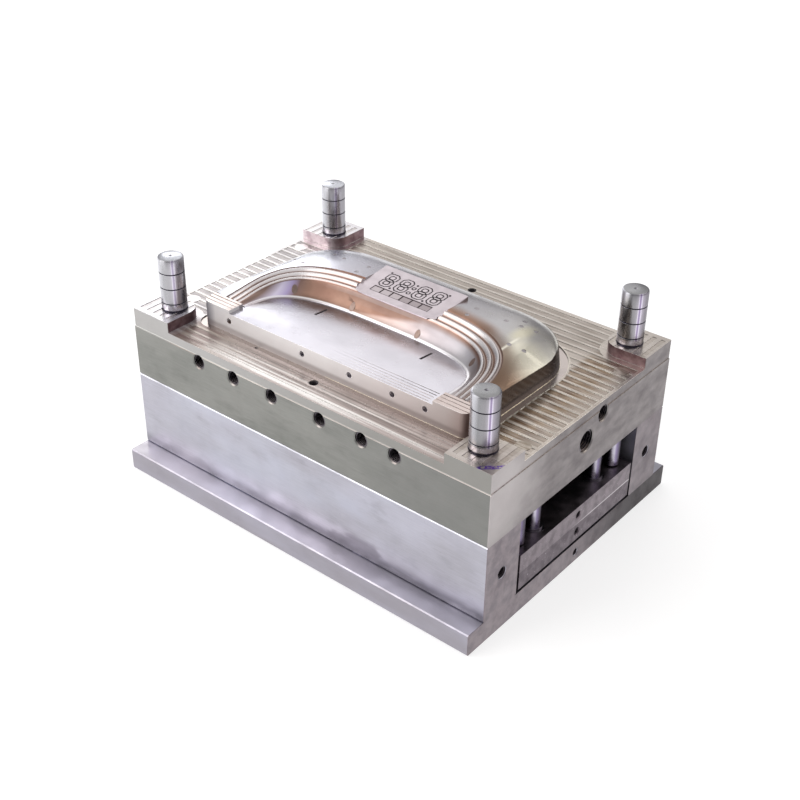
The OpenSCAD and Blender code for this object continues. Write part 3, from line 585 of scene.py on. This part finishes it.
def rear_and_pads(f, cream, floor, tops):
    """Stripes at the rear painted greyer as shade, pad tops painted lighter to the left, and fine milling
    lines behind the front strip.
    """
    # Painted shade: greyer stripes at the rear.
    rear = f.all_of(f.above(f.y, 118, 6), f.above(f.x, -180, 60))
    cream = f.over(cream, f.mix(floor, tone(196, 188, 180), tone(142, 132, 122)), rear, 0.6)
    # Painted light: pad tops lighter to the left.
    pads = f.mix(f.ramp(f.x, -200, 200), tone(228, 226, 230), tone(186, 178, 170))
    pads = f.over(pads, tone(140, 128, 112), f.below(f.z, Z_PAD - 0.25, 0.1), 0.5)
    cream = f.over(cream, pads, tops, 0.7)
    milling = f.ramp(f.noise(1.6, (25, 1, 1), 2), 0.3, 0.7, 0, 0.3)
    return f.over(cream, tone(236, 228, 220), f.all_of(milling, f.above(f.y, STRIP_Y, 3)))


def marking_ink(f, cream, tops):
    """A violet stroke of marking ink across the front right pad."""
    off_stroke = f.minus(f.times(f.minus(f.x, INK_PLACE[0]), 0.95), f.minus(f.y, INK_PLACE[1]))
    stroke = f.all_of(f.between(off_stroke, -4.5, 4.5, 2), f.between(f.x, 277, 299, 2))
    return f.over(cream, tone(112, 84, 172), f.all_of(stroke, f.noise(4, contrast=(0.36, 0.5)), tops))


def core_plate_steel():
    """Ground sides, polished striped parting plane, corner pads."""
    f, side = ground_steel("core_plate_steel", tone(144, 144, 140), tone(131, 132, 128))
    side = plate_inside_shade(f, pad_wall_reflections(f, plate_sides(f, side)))
    floor = f.below(f.z, Z_PART - 0.25, 0.1)
    tops = f.above(f.z, Z_PAD - 1, 0.3)
    cream = front_strip(f, milled_stripes(f, floor))
    cream = marking_ink(f, rear_and_pads(f, cream, floor, tops), tops)
    up = f.above(f.normal_part("Z"), 0.7, 0.15)
    f.color(f.mix(up, side, cream))
    rubbed = f.all_of(up, f.below(f.y, STRIP_Y, 6), f.below(f.z, 240))
    f.metal(f.mix(rubbed, grey(1.0), grey(0.45)))
    wander = f.ramp(f.noise(30, detail=4), 0.3, 0.75, -0.04, 0.1)
    f.roughness(f.plus(f.mix(up, grey(0.40), grey(0.27)), wander))
    return f


# Core block
def panel_tone(f, cloud, panel_edge):
    """Flat panel, shaded towards the left and along its left boundary."""
    panel = f.mix(cloud, tone(228, 225, 231), tone(220, 217, 223))
    panel = f.over(panel, tone(176, 174, 182), f.ramp(f.x, -150, 20, 0.8, 0))
    edge = f.all_of(f.ramp(panel_edge, 0.9, 1.0), f.below(f.x, -110, 25), f.above(f.y, -112, 6))
    return f.over(panel, tone(140, 122, 116), edge, 0.5)


def slope_tone(f, cloud, panel_edge, inner_rib):
    """Slope between the panel and the inner rib, in painted reflections: copper above, paler below towards
    the right, violet at the left end, with a painted highlight along the panel's edge.
    """
    # Painted reflections along the slope, from violet at the left end through copper to silver at the right.
    slope = f.ladder(f.x, [
        (-176, tone(140, 118, 110)), (-166, tone(226, 218, 240)), (-157, tone(186, 172, 212)),
        (-148, tone(140, 114, 106)), (-118, tone(156, 130, 118)), (-60, tone(158, 130, 116)),
        (0, tone(172, 154, 148)), (70, tone(166, 158, 160)), (110, tone(170, 165, 168)),
        (140, tone(190, 188, 192)), (165, tone(160, 152, 152)),
    ])
    over_level = f.minus(f.share(panel_edge, inner_rib), f.ramp(f.x, -85, 52, 0.0, 0.86, smooth=False))
    upper = f.all_of(f.ramp(over_level, -0.08, 0.14), f.above(f.x, -142, 8))
    slope = f.over(slope, f.mix(cloud, tone(140, 112, 98), tone(124, 96, 84)), upper)
    # Painted highlight along the panel's edge.
    return f.over(slope, tone(250, 248, 250), f.between(panel_edge, 1.0, 1.02, 0.006), 0.8)


def rib_tone(f, inner_rib, outer_rib):
    """Three polished ribs with painted highlights on their crests and brown painted shade in the valleys
    between them.
    """
    across = f.math("FRACT", f.times(f.share(inner_rib, outer_rib), RIB_COUNT))
    # Painted highlights and shade across each rib.
    ribs = f.ladder(across, [
        (0, tone(116, 90, 78)), (0.06, tone(168, 148, 140)), (0.16, tone(214, 208, 208)),
        (0.32, tone(232, 230, 231)), (0.5, tone(206, 200, 200)), (0.68, tone(186, 176, 174)),
        (0.82, tone(160, 142, 134)), (0.92, tone(118, 92, 80)), (1, tone(110, 84, 72)),
    ])
    # Painted light at the left end, and a painted copper reflection along the middle of the ribs.
    ribs = f.over(ribs, tone(236, 228, 230), f.ramp(f.x, -120, -180, 0, 0.3))
    coppery = f.all_of(f.ramp(f.x, -165, -110), f.ramp(f.x, 95, 150, 1, 0))
    ribs = f.over(ribs, tone(150, 118, 104), coppery, 0.42)
    # Painted shade deepening the brown valleys on the left.
    valley = f.either(f.above(across, 0.78, 0.06), f.below(across, 0.1, 0.04))
    return f.over(ribs, tone(112, 82, 70), f.all_of(valley, f.below(f.x, 20, 30)), 0.75)


def dome_tone(f, cloud, outer_rib):
    """Dome round the ribs: painted light, bright at the left; a painted copper reflection by the ribs; a
    painted highlight along the crease at the right end, a painted reflection on the facet beyond it, painted
    shade and a glint.
    """
    dome = f.ladder(f.x, [
        (-222, tone(248, 249, 253)), (-175, tone(240, 242, 250)), (-120, tone(200, 198, 206)),
        (-40, tone(168, 163, 166)), (60, tone(164, 160, 162)), (150, tone(186, 183, 180)),
        (222, tone(190, 186, 174)),
    ])
    dome = f.over(dome, tone(205, 205, 212), cloud, 0.25)
    # Painted copper reflection beside the ribs.
    near_rib_reflection = f.all_of(f.ramp(outer_rib, 1.0, 1.16, 1, 0), f.ramp(f.x, 30, 60), f.ramp(f.x, 130, 165, 1, 0))
    dome = f.over(dome, tone(150, 114, 92), near_rib_reflection, 0.95)
    # Painted highlight along the crease.
    crease = f.distance(CREASE_PLACE, stretch=(1, 0.42))
    dome = f.over(dome, tone(216, 210, 186), f.ramp(crease, 3, 17, 0.9, 0))
    # Painted reflection on the facet beyond the crease.
    facet = f.all_of(f.above(f.x, 176, 9), f.below(f.y, 30, 18))
    dome = f.over(dome, f.mix(f.ramp(f.y, -60, 6), tone(158, 132, 112), tone(224, 219, 202)), facet)
    shade = f.all_of(f.ramp(outer_rib, 1.01, 1.13, 1, 0), f.above(f.x, 120, 20), f.below(f.y, 40, 25))
    dome = f.over(dome, tone(116, 94, 80), shade, 0.75)
    glint = f.all_of(f.between(f.x, 174, 177, 2), f.between(f.y, -64, 24, 8))
    return f.over(dome, tone(250, 246, 230), glint, 0.7)


def core_wall_tone(f, cloud):
    """Upright faces, in painted light and shade: the pale front wall, darker towards its ends and its foot,
    a dark right end and a grey back.
    """
    wall = f.ladder(f.x, [
        (-222, tone(48, 44, 48)), (-219, tone(120, 118, 124)), (-211, tone(158, 156, 161)),
        (-198, tone(222, 219, 219)), (0, tone(234, 230, 229)), (120, tone(216, 206, 204)),
        (190, tone(190, 179, 175)), (214, tone(166, 148, 142)), (219, tone(104, 84, 78)),
    ])
    # Painted shade along the foot of the wall.
    wall = f.over(wall, tone(120, 104, 100), f.below(f.z, 240, 3), 0.5)
    behind = f.above(f.y, WALL_BACK_Y)
    right_end = f.all_of(f.above(f.x, 150), behind)
    # Painted shade on the right end.
    wall = f.over(wall, f.mix(cloud, tone(78, 68, 64), tone(66, 56, 54)), right_end)
    return f.over(wall, tone(150, 145, 146), f.all_of(behind, f.below(f.x, 150)))


def panel_groove_shade(f, base, panel_edge):
    """Painted shade in the milled lines near the panel's front and in the dark slots round the ejector
    blades.
    """
    place = f.all_of(f.between(f.y, ARCH_Y + 0.4, -96, 0.3), f.between(f.x, -60, 165, 4))
    milled = f.all_of(f.edge_lines(0.5), place, f.below(panel_edge, 0.985, 0.006))
    base = f.over(base, tone(96, 90, 94), milled, 0.9)
    slots = f.all_of(f.edge_lines(1.0), f.above(f.y, -94), f.below(panel_edge, 0.96, 0.006))
    return f.over(base, tone(52, 47, 50), slots, 0.85)


def core_rim_highlights(f, base):
    """Painted highlights along the edges of the flange and of the front wall."""
    rim_highlights = f.edge_lines(1.1)
    flange = f.all_of(rim_highlights, f.below(f.z, Z_PART + 0.2, 0.2), f.above(f.x, 0))
    base = f.over(base, tone(250, 241, 220), flange)
    wall_top = f.all_of(rim_highlights, f.below(f.y, STRIP_Y - 0.6, 0.5), f.above(f.z, 245, 2))
    return f.over(base, tone(246, 243, 242), wall_top, 0.6)


def core_steel():
    """Polished core, coloured with painted reflections, light and shade: silvery panel and dome, coppery
    slopes, bright ribs with brown valleys.
    """
    f = Finish("polished_core_steel")
    cloud = f.noise(55, detail=4, contrast=(0.35, 0.7))
    panel_edge = f.arch(*PANEL_ARCH)
    inner_rib = f.arch(*INNER_RIB_ARCH)
    outer_rib = f.arch(*OUTER_RIB_ARCH)
    panel = panel_tone(f, cloud, panel_edge)
    base = f.over(panel, slope_tone(f, cloud, panel_edge, inner_rib), f.above(panel_edge, 1.0, 0.003))
    base = f.over(base, rib_tone(f, inner_rib, outer_rib), f.above(inner_rib, 1.0, 0.003))
    base = f.over(base, dome_tone(f, cloud, outer_rib), f.above(outer_rib, 1.0, 0.003))
    base = panel_groove_shade(f, base, panel_edge)
    wall_top = f.mix(f.above(f.size_of(f.x), 171, 0.3), panel, tone(214, 200, 194))
    base = f.over(base, wall_top, f.below(f.y, ARCH_Y - 0.2, 0.2))
    upright = f.below(f.size_of(f.normal_part("Z")), 0.35, 0.1)
    base = f.over(base, core_wall_tone(f, cloud), upright)
    base = f.over(base, tone(196, 186, 180), f.all_of(f.below(f.z, Z_PART), f.no(upright)))
    f.color(core_rim_highlights(f, base))
    front_wall = f.all_of(upright, f.below(f.y, WALL_BACK_Y))
    f.metal(f.mix(front_wall, grey(1.0), grey(0.2)))
    on_slope = f.all_of(f.above(panel_edge, 1.0, 0.01), f.below(inner_rib, 1.0, 0.01))
    satin = f.plus(f.ramp(f.noise(25, detail=4), 0.3, 0.75, 0.2, 0.3), f.times(on_slope, 0.12))
    f.roughness(f.mix(front_wall, satin, grey(0.4)))
    f.soft_edges(0.4)
    return f


# Display insert
def window_row(f, face):
    """Six windows in a row: grey panes between dark lines, paler at the left."""
    left, right = WINDOWS_X
    front, rear = WINDOWS_Y
    along = f.times(f.math("FRACT", f.math("DIVIDE", f.minus(f.x, left), WINDOW_PITCH)), WINDOW_PITCH)
    row = f.all_of(f.between(f.x, left - 0.3, right + 0.3, 0.2), f.between(f.y, front, rear, 0.2))
    pane = f.all_of(f.between(along, 0.8, 14.9, 0.2), f.between(f.y, front + 1.3, rear - 1.5, 0.2))
    glass = f.mix(f.below(f.x, -3, 0.5), tone(166, 155, 157), tone(188, 178, 180))
    return f.over(face, f.mix(pane, tone(72, 62, 64), glass), row)


def display_steel():
    """Insert face: fine satin, with painted shade in the engraved lines, grey windows, and its sides painted
    darker as shade.
    """
    f = Finish("display_steel")
    clouds = f.noise(16, detail=4, contrast=(0.35, 0.7))
    face = f.mix(clouds, tone(208, 198, 202), tone(194, 184, 188))
    plane = f.plus(f.times(f.minus(f.y, DISPLAY_Y), math.tan(DISPLAY_TILT)), DISPLAY_Z)
    depth = f.minus(plane, f.z)
    # Painted shade in the engraved lines and along their edges.
    drawn = f.either(f.above(depth, 0.1, 0.05), f.edge_lines(1.1, 0.002, 0.016))
    digits = f.all_of(f.between(f.x, -62, 58, 0.5), f.between(f.y, 1, 58, 0.3), f.above(f.y, 16, 0.2))
    face = f.over(face, tone(28, 21, 23), f.all_of(digits, drawn))
    face = window_row(f, face)
    # Painted shade on the insert's sides below its face.
    f.color(f.over(face, tone(150, 134, 132), f.above(depth, 1.2, 0.1)))
    f.roughness(f.ramp(f.noise(9, detail=3), 0.3, 0.7, 0.28, 0.38))
    f.bump(f.noise(0.7, (20, 1, 1), 2), 0.02, 0.3, f.soft_edges(0.3))
    return f


# Bars, pins and small parts
def round_part(f, place, radius):
    """For bars at four mirrored places: place across the bar, from -1 to 1, and distance from its axis."""
    local = [f.minus(v, f.times(f.math("SIGN", v), middle)) for v, middle in zip((f.x, f.y), place)]
    side = f.plus(*(f.times(v, part / radius) for v, part in zip(local, PAINTED_REFLECTION_SIDE)))
    return side, f.length(*local)


def pillar_steel():
    """Ground pillars with painted reflections in upright bright and violet streaks, painted shade in dark
    rings at the grooves and the foot, and faced tops painted lighter to the left.
    """
    f = Finish("pillar_steel")
    side, radius = round_part(f, centre("guide_pillar_rear_right"), PILLAR_RADIUS)
    wobble = f.ramp(f.noise(9, (1, 1, 3), 2), 0.3, 0.7, -0.012, 0.012)
    # Painted reflections: bright and violet upright streaks, counted across the bar from its painted
    # reflection side.
    base = f.ladder(f.plus(side, wobble), [
        (-1.0, tone(216, 216, 224)), (-0.8, tone(192, 192, 198)), (-0.5, tone(146, 146, 149)),
        (-0.1, tone(156, 154, 158)), (0.1, tone(176, 172, 180)), (0.16, tone(232, 226, 240)),
        (0.22, tone(166, 152, 184)), (0.3, tone(158, 144, 176)), (0.36, tone(230, 224, 240)),
        (0.46, tone(176, 170, 182)), (0.7, tone(140, 136, 144)), (0.93, tone(108, 105, 112)),
        (1.0, tone(144, 140, 148)),
    ])
    # Painted light on the pillars to the left.
    base = f.over(base, tone(228, 228, 233), f.below(f.x, 0), 0.24)
    # Painted highlight on the collar, left off the shaded side.
    collar = f.all_of(f.between(f.z, Z_PAD + 3, Z_PAD + 8.8, 0.3), f.below(side, 0.6, 0.2))
    base = f.over(base, tone(214, 210, 220), collar)
    # Painted shade in the grooves and at the foot.
    grooves = f.all_of(f.below(radius, PILLAR_RADIUS - 0.4, 0.15), f.below(f.z, Z_TIP - 5))
    painted_foot_shade = f.between(f.z, Z_PAD - 0.5, Z_PAD + 2.2)
    base = f.over(base, tone(62, 58, 72), f.either(grooves, painted_foot_shade))
    top = f.above(f.z, Z_TIP - 0.4, 0.2)
    # Top faces painted lighter to the left.
    face = f.mix(f.ramp(f.x, -250, 250), tone(206, 208, 214), tone(166, 166, 167))
    face = f.over(face, tone(140, 140, 144), f.noise(3, contrast=(0.35, 0.65)), 0.25)
    base = f.over(base, face, top)
    # Painted shade in the centre hole of the top.
    f.color(f.over(base, tone(18, 16, 20), f.all_of(f.below(radius, 2.3, 0.3), top)))
    f.roughness(f.ramp(f.noise(14, (1, 1, 2), 3), 0.3, 0.7, 0.22, 0.32))
    f.bump(f.noise(0.5, (12, 12, 1), 2), 0.015, 0.4, f.soft_edges(0.5))
    return f


def pin_steel(name, node, radius):
    """Hardened pins of the ejector plates: a pale streak and violet shade at the sides, as painted
    reflection and shade; painted shade where they leave the retainer plate; tops like the plate, painted
    lighter to the left.
    """
    f = Finish(name)
    side, _ = round_part(f, centre(node), radius)
    # Painted reflection and shade across the pin.
    base = f.ladder(side, [
        (-1, tone(74, 70, 82)), (-0.5, tone(116, 112, 124)), (-0.15, tone(196, 192, 204)),
        (0.1, tone(206, 202, 216)), (0.35, tone(146, 134, 168)), (0.7, tone(96, 90, 108)),
        (1, tone(64, 60, 74)),
    ])
    base = f.over(base, tone(90, 84, 96), f.noise(12, detail=4, contrast=(0.4, 0.7)), 0.3)
    # Painted shade where the pins leave the retainer plate.
    base = f.over(base, tone(40, 37, 44), f.between(f.z, Z_EJECTOR_TOP - 0.5, Z_EJECTOR_TOP + 2.5, 0.5))
    top = f.mix(f.noise(3, (5, 1, 1), contrast=(0.35, 0.65)), tone(188, 178, 166), tone(150, 138, 124))
    # Tops painted lighter to the left.
    top = f.over(top, tone(226, 222, 223), f.ramp(f.x, -200, 200, 0.8, 0))
    f.color(f.over(base, top, f.above(f.z, Z_PART - 0.3, 0.1)))
    f.roughness(f.ramp(f.noise(15, detail=3), 0.3, 0.7, 0.24, 0.36))
    f.soft_edges(0.3)
    return f


def tip_steel():
    """Ejector pins: their tips take the tone of the core round them, a shade apart, with the slope's painted
    copper reflection where they stand on it.
    """
    f = Finish("ejector_pin_steel")
    clouds = f.noise(5, detail=3, contrast=(0.3, 0.7))
    on_slope = f.all_of(f.below(f.arch(*INNER_RIB_ARCH), 1.0, 0.01), f.above(f.arch(*PANEL_ARCH), 1.0, 0.01))
    silver = f.mix(clouds, tone(178, 172, 174), tone(150, 144, 146))
    f.color(f.over(silver, f.mix(clouds, tone(140, 122, 114), tone(126, 108, 100)), on_slope))
    f.roughness(0.38)
    f.bump(f.noise(0.5, (1, 12, 1), 2), 0.01, 0.4, f.soft_edges(0.2))
    return f


def ejector_steel():
    """Ejector plates: warm mottled grey, the base plate darker, a painted highlight along the seam between
    the two, and painted shade in their holes.
    """
    f = Finish("ejector_plate_steel")
    mottle = f.noise(13, detail=4, contrast=(0.32, 0.7))
    upper = f.mix(mottle, tone(142, 132, 138), tone(116, 107, 113))
    lower = f.mix(mottle, tone(120, 110, 117), tone(92, 83, 90))
    base = f.over(upper, lower, f.below(f.z, Z_EJECTOR_SEAM, 0.2))
    # Painted highlight along the seam at the right end.
    seam = f.all_of(f.between(f.z, Z_EJECTOR_SEAM - 0.8, Z_EJECTOR_SEAM + 0.8, 0.3),
                    f.above(f.x, END_X - 1), f.ramp(f.y, -20, 40))
    base = f.over(base, tone(226, 220, 224), seam, 0.8)
    bright_specks = f.noise(3, detail=2, offset=(3, 8, 1), contrast=(0.66, 0.74))
    base = f.over(base, tone(200, 192, 198), bright_specks, 0.7)
    dark_specks = f.noise(2.5, detail=2, offset=(9, 2, 4), contrast=(0.66, 0.75))
    base = f.over(base, tone(48, 42, 46), dark_specks, 0.7)
    # Painted shade inside the threaded holes.
    painted_hole_shade = f.either(f.bore("ejector_base_hole_right"), f.bore("ejector_retainer_hole_right"))
    f.color(f.over(base, tone(84, 78, 82), painted_hole_shade))
    f.roughness(f.ramp(f.noise(20, detail=4), 0.3, 0.75, 0.3, 0.48))
    f.bump(f.noise(0.7, (1, 30, 1), 2), 0.03, 0.5, f.soft_edges(0.4))
    return f


def simple_steel(name, color, rough, marks=0.3):
    """Plain turned or cut steel: cloudy, with darker marks and lines round the part."""
    f = Finish(name)
    base = f.mix(f.noise(18, detail=4, contrast=(0.35, 0.7)), color, scaled(color, 0.78))
    spots = f.noise(7, detail=4, offset=(5, 5, 5), contrast=(0.55, 0.8))
    f.color(f.over(base, scaled(color, 0.4), spots, marks))
    f.roughness(f.ramp(f.noise(15, detail=3), 0.3, 0.7, rough - 0.05, rough + 0.08))
    f.bump(f.noise(0.6, (1, 1, 30), 2), 0.02, 0.5, f.soft_edges(0.4))
    return f


def dress(finish, *beginnings):
    """Gives a finish to the CAD nodes whose names begin with these words."""
    for name, node in nodes.items():
        if name.startswith(beginnings):
            node.data.materials.clear()
            node.data.materials.append(finish.material)


def smooth_cad(node):
    """Smooth shading on a CAD node's curved faces, with its sharp edges kept."""
    for face in node.data.polygons:
        face.use_smooth = True
    weld = node.modifiers.new("join_facets", "WELD")
    weld.merge_threshold = WELD
    split = node.modifiers.new("keep_edges", "EDGE_SPLIT")
    split.split_angle = math.radians(32)


# Extra pieces, drawn in millimetres
def add_piece(name, made, body, finish):
    """Turns a bmesh into a piece that rides on a body."""
    bmesh.ops.recalc_face_normals(made, faces=made.faces)
    bmesh.ops.scale(made, vec=(MM, MM, MM), verts=made.verts)
    mesh = bpy.data.meshes.new(name)
    made.to_mesh(mesh)
    made.free()
    mesh.materials.append(finish.material)
    piece = bpy.data.objects.new(name, mesh)
    bpy.context.scene.collection.objects.link(piece)
    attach(piece, body)
    return piece


def ring(made, radius, z, place, sides=32, cap=False):
    where = Matrix.Translation((place[0], place[1], z))
    return bmesh.ops.create_circle(made, cap_ends=cap, segments=sides, radius=radius, matrix=where)["verts"]


def once(things):
    """Each of the things once, in their own order, which a set wouldn't keep from run to run."""
    return list(dict.fromkeys(things))


def skin(made, rings):
    """Walls between rings of vertices that follow each other."""
    for pair in zip(rings, rings[1:]):
        edges = once(e for loop in pair for v in loop for e in v.link_edges if e.other_vert(v) in loop)
        bmesh.ops.bridge_loops(made, edges=edges)


# Threads
def mouth(hole):
    """Where a threaded hole meets the mould's outer face or its parting plane."""
    place = Vector(hole["pos_m"]) / MM
    for k, face in enumerate((END_X, -FRONT_Y, Z_PART)):
        if hole["axis"][k]:
            place[k] = hole["axis"][k] * face
    return place


def thread(made, hole, turns):
    """Helical ridge on the wall of a threaded hole, from behind its mouth inwards."""
    start = mouth(hole)
    inwards = -Vector(hole["axis"])
    radius = hole["dims"]["r_mm"]
    pitch = THREAD_PITCH[radius]
    side = inwards.orthogonal().normalized()
    turned = Matrix((side, inwards, side.cross(inwards))).transposed().to_4x4()
    root = start + inwards * THREAD_START + side * (radius - RIDGE_INSET * pitch)
    where = Matrix.Translation(root) @ turned
    loop = bmesh.ops.create_circle(made, segments=3, radius=RIDGE_RADIUS * pitch, matrix=where)["verts"]
    edges = once(e for v in loop for e in v.link_edges)
    bmesh.ops.spin(made, geom=loop + edges, cent=start, axis=inwards, dvec=inwards * (pitch / THREAD_STEPS),
                   angle=math.tau * turns, steps=THREAD_STEPS * turns)


def add_threads(name, beginnings, turns, body, finish):
    """One piece with the threads of all the holes whose names begin with these words."""
    made = bmesh.new()
    for hole in mounts.values():
        if hole["kind"] == "threaded_hole" and hole["name"].startswith(beginnings):
            thread(made, hole, turns)
    bmesh.ops.holes_fill(made, edges=made.edges)
    add_piece(name, made, body, finish)


# Screws and ejector pins in place of the CAD's plain ones
def loose_parts(node):
    """The points of each separate solid of a CAD node, in millimetres."""
    made = bmesh.new()
    made.from_mesh(nodes[node].data)
    bmesh.ops.remove_doubles(made, verts=made.verts, dist=WELD)
    left = dict.fromkeys(made.verts)
    parts = []
    while left:
        reached = []
        waiting = [left.popitem()[0]]
        while waiting:
            vert = waiting.pop()
            reached.append(vert.co / MM)
            near = [v for v in once(e.other_vert(vert) for e in vert.link_edges) if v in left]
            for v in near:
                del left[v]
            waiting.extend(near)
        parts.append(reached)
    made.free()
    return parts


def middle(points):
    """Centre of a round part seen from above, to a tenth of a millimetre."""
    spans = ([p[k] for p in points] for k in (0, 1))
    return tuple(round((min(span) + max(span)) / 2, 1) for span in spans)


def socket_screw(made, place, size):
    """A socket head cap screw that stands on its head."""
    socket = size["socket"] / math.sqrt(3)
    head = size["head"] / 2
    shank = size["shank"] / 2
    seat = SCREW_Z + size["height"]
    end = seat + size["length"]
    skin(made, [
        ring(made, socket, SCREW_Z + size["height"] * SOCKET_DEPTH, place, 6, cap=True),
        ring(made, socket, SCREW_Z, place, 6),
        ring(made, head - HEAD_CHAMFER, SCREW_Z, place),
        ring(made, head, SCREW_Z + HEAD_CHAMFER, place),
        ring(made, head, seat, place),
        ring(made, shank, seat, place),
        ring(made, shank, end - END_CHAMFER, place),
        ring(made, shank - END_CHAMFER, end, place, cap=True),
    ])


def add_socket_screws(name, node, size, finish):
    made = bmesh.new()
    for place in sorted(middle(points) for points in loose_parts(node)):
        socket_screw(made, place, size)
    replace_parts(add_piece(name, made, "mould_half", finish), node)


def surface_at(core, x, y, radius):
    """Level and slope of the core's surface round a pin's place."""
    hits = []
    for k in range(TIP_SAMPLES):
        turn = math.tau * k / TIP_SAMPLES
        dx = radius * math.cos(turn)
        dy = radius * math.sin(turn)
        found = core.ray_cast(Vector((x + dx, y + dy, Z_TIP)) * MM, Vector((0, 0, -1)))[0]
        if found is not None:
            hits.append((dx, dy, found.z / MM))
    level = sum(z for _, _, z in hits) / len(hits)
    slope_x = sum(dx * (z - level) for dx, _, z in hits) / sum(dx ** 2 for dx, _, _ in hits)
    slope_y = sum(dy * (z - level) for _, dy, z in hits) / sum(dy ** 2 for _, dy, _ in hits)
    return level, slope_x, slope_y


def fitted_pin(made, core, points):
    """An ejector pin whose tip follows the core's surface."""
    low = min(p.z for p in points)
    high = max(p.z for p in points)
    tip = [p for p in points if p.z > high - 0.05]
    x, y = (sum(p[k] for p in tip) / len(tip) for k in (0, 1))
    radius = max(math.hypot(p.x - x, p.y - y) for p in tip)
    head = max(math.hypot(p.x - x, p.y - y) for p in points)
    level, slope_x, slope_y = surface_at(core, x, y, radius + TIP_MARGIN)
    top = ring(made, radius, level, (x, y), cap=True)
    for v in top:
        v.co.z += slope_x * (v.co.x - x) + slope_y * (v.co.y - y) - TIP_GAP
    skin(made, [
        ring(made, head, low, (x, y), cap=True),
        ring(made, head, low + PIN_HEAD, (x, y)),
        ring(made, radius, low + PIN_HEAD, (x, y)),
        ring(made, radius, min(v.co.z for v in top) - 1, (x, y)),
        top,
    ])


def add_fitted_pins(finish):
    core = BVHTree.FromObject(nodes["core_block"], bpy.context.evaluated_depsgraph_get())
    made = bmesh.new()
    for points in loose_parts("ejector_pins"):
        fitted_pin(made, core, points)
    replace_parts(add_piece("ejector_pins_fitted", made, "ejector_set", finish), "ejector_pins")


def add_floor():
    made = bmesh.new()
    bmesh.ops.create_grid(made, x_segments=2, y_segments=2, size=FLOOR_SIZE)
    mesh = bpy.data.meshes.new("studio_floor")
    made.to_mesh(mesh)
    made.free()
    floor = bpy.data.objects.new("studio_floor", mesh)
    bpy.context.scene.collection.objects.link(floor)
    paper = Finish("white_paper", metallic=0.0)
    paper.color(paper.mix(paper.noise(400, contrast=(0.3, 0.7)), grey(0.56), grey(0.54)))
    paper.shader.inputs["Emission Color"].default_value = (1, 1, 1, 1)
    paper.shader.inputs["Emission Strength"].default_value = 0.6
    paper.roughness(0.9)
    mesh.materials.append(paper.material)


add_camera()
add_studio()
bpy.context.scene.view_settings.view_transform = "Standard"
add_floor()

dress(frame_steel(), "clamp_plate", "spacer_block_")
dress(core_plate_steel(), "core_plate")
dress(core_steel(), "core_block")
dress(display_steel(), "display_insert")
dress(ejector_steel(), "ejector_retainer_plate", "ejector_base_plate")
dress(pillar_steel(), "guide_pillar_")
dress(pin_steel("return_pin_steel", "return_pin_rear_right", RETURN_PIN_RADIUS), "return_pin_")
dress(pin_steel("guide_pin_steel", "ejector_guide_pin_rear_right", GUIDE_PIN_RADIUS), "ejector_guide_pin_")
pin_tips = tip_steel()
dress(pin_tips, "ejector_pins")
dress(simple_steel("blade_steel", tone(78, 72, 76), 0.35), "ejector_blades")
turned = simple_steel("turned_steel", tone(128, 122, 130), 0.3)
dress(turned, "spacer_dowels", "ejector_guide_bush_", "support_pillar_", "rest_buttons")
black = simple_steel("black_screw_steel", (0.06, 0.06, 0.065), 0.45)
dress(black, "clamp_screws", "support_screws", "core_screws", "ejector_plate_screws", "display_screws")

threaded = simple_steel("thread_steel", tone(112, 106, 112), 0.3, marks=0.5)
body_holes = ("lifting_hole", "side_lifting_hole", "spacer_hole", "clamp_plate_hole", "top_hole")
add_threads("port_threads", "cooling_port", PORT_TURNS, "mould_half", threaded)
add_threads("lifting_threads", body_holes, HOLE_TURNS, "mould_half", threaded)
add_threads("ejector_plate_threads", "ejector_", HOLE_TURNS, "ejector_set", threaded)
add_fitted_pins(pin_tips)
add_socket_screws("clamp_socket_screws", "clamp_screws", CLAMP_SCREW, black)
add_socket_screws("support_socket_screws", "support_screws", SUPPORT_SCREW, black)
for node in nodes.values():
    smooth_cad(node)
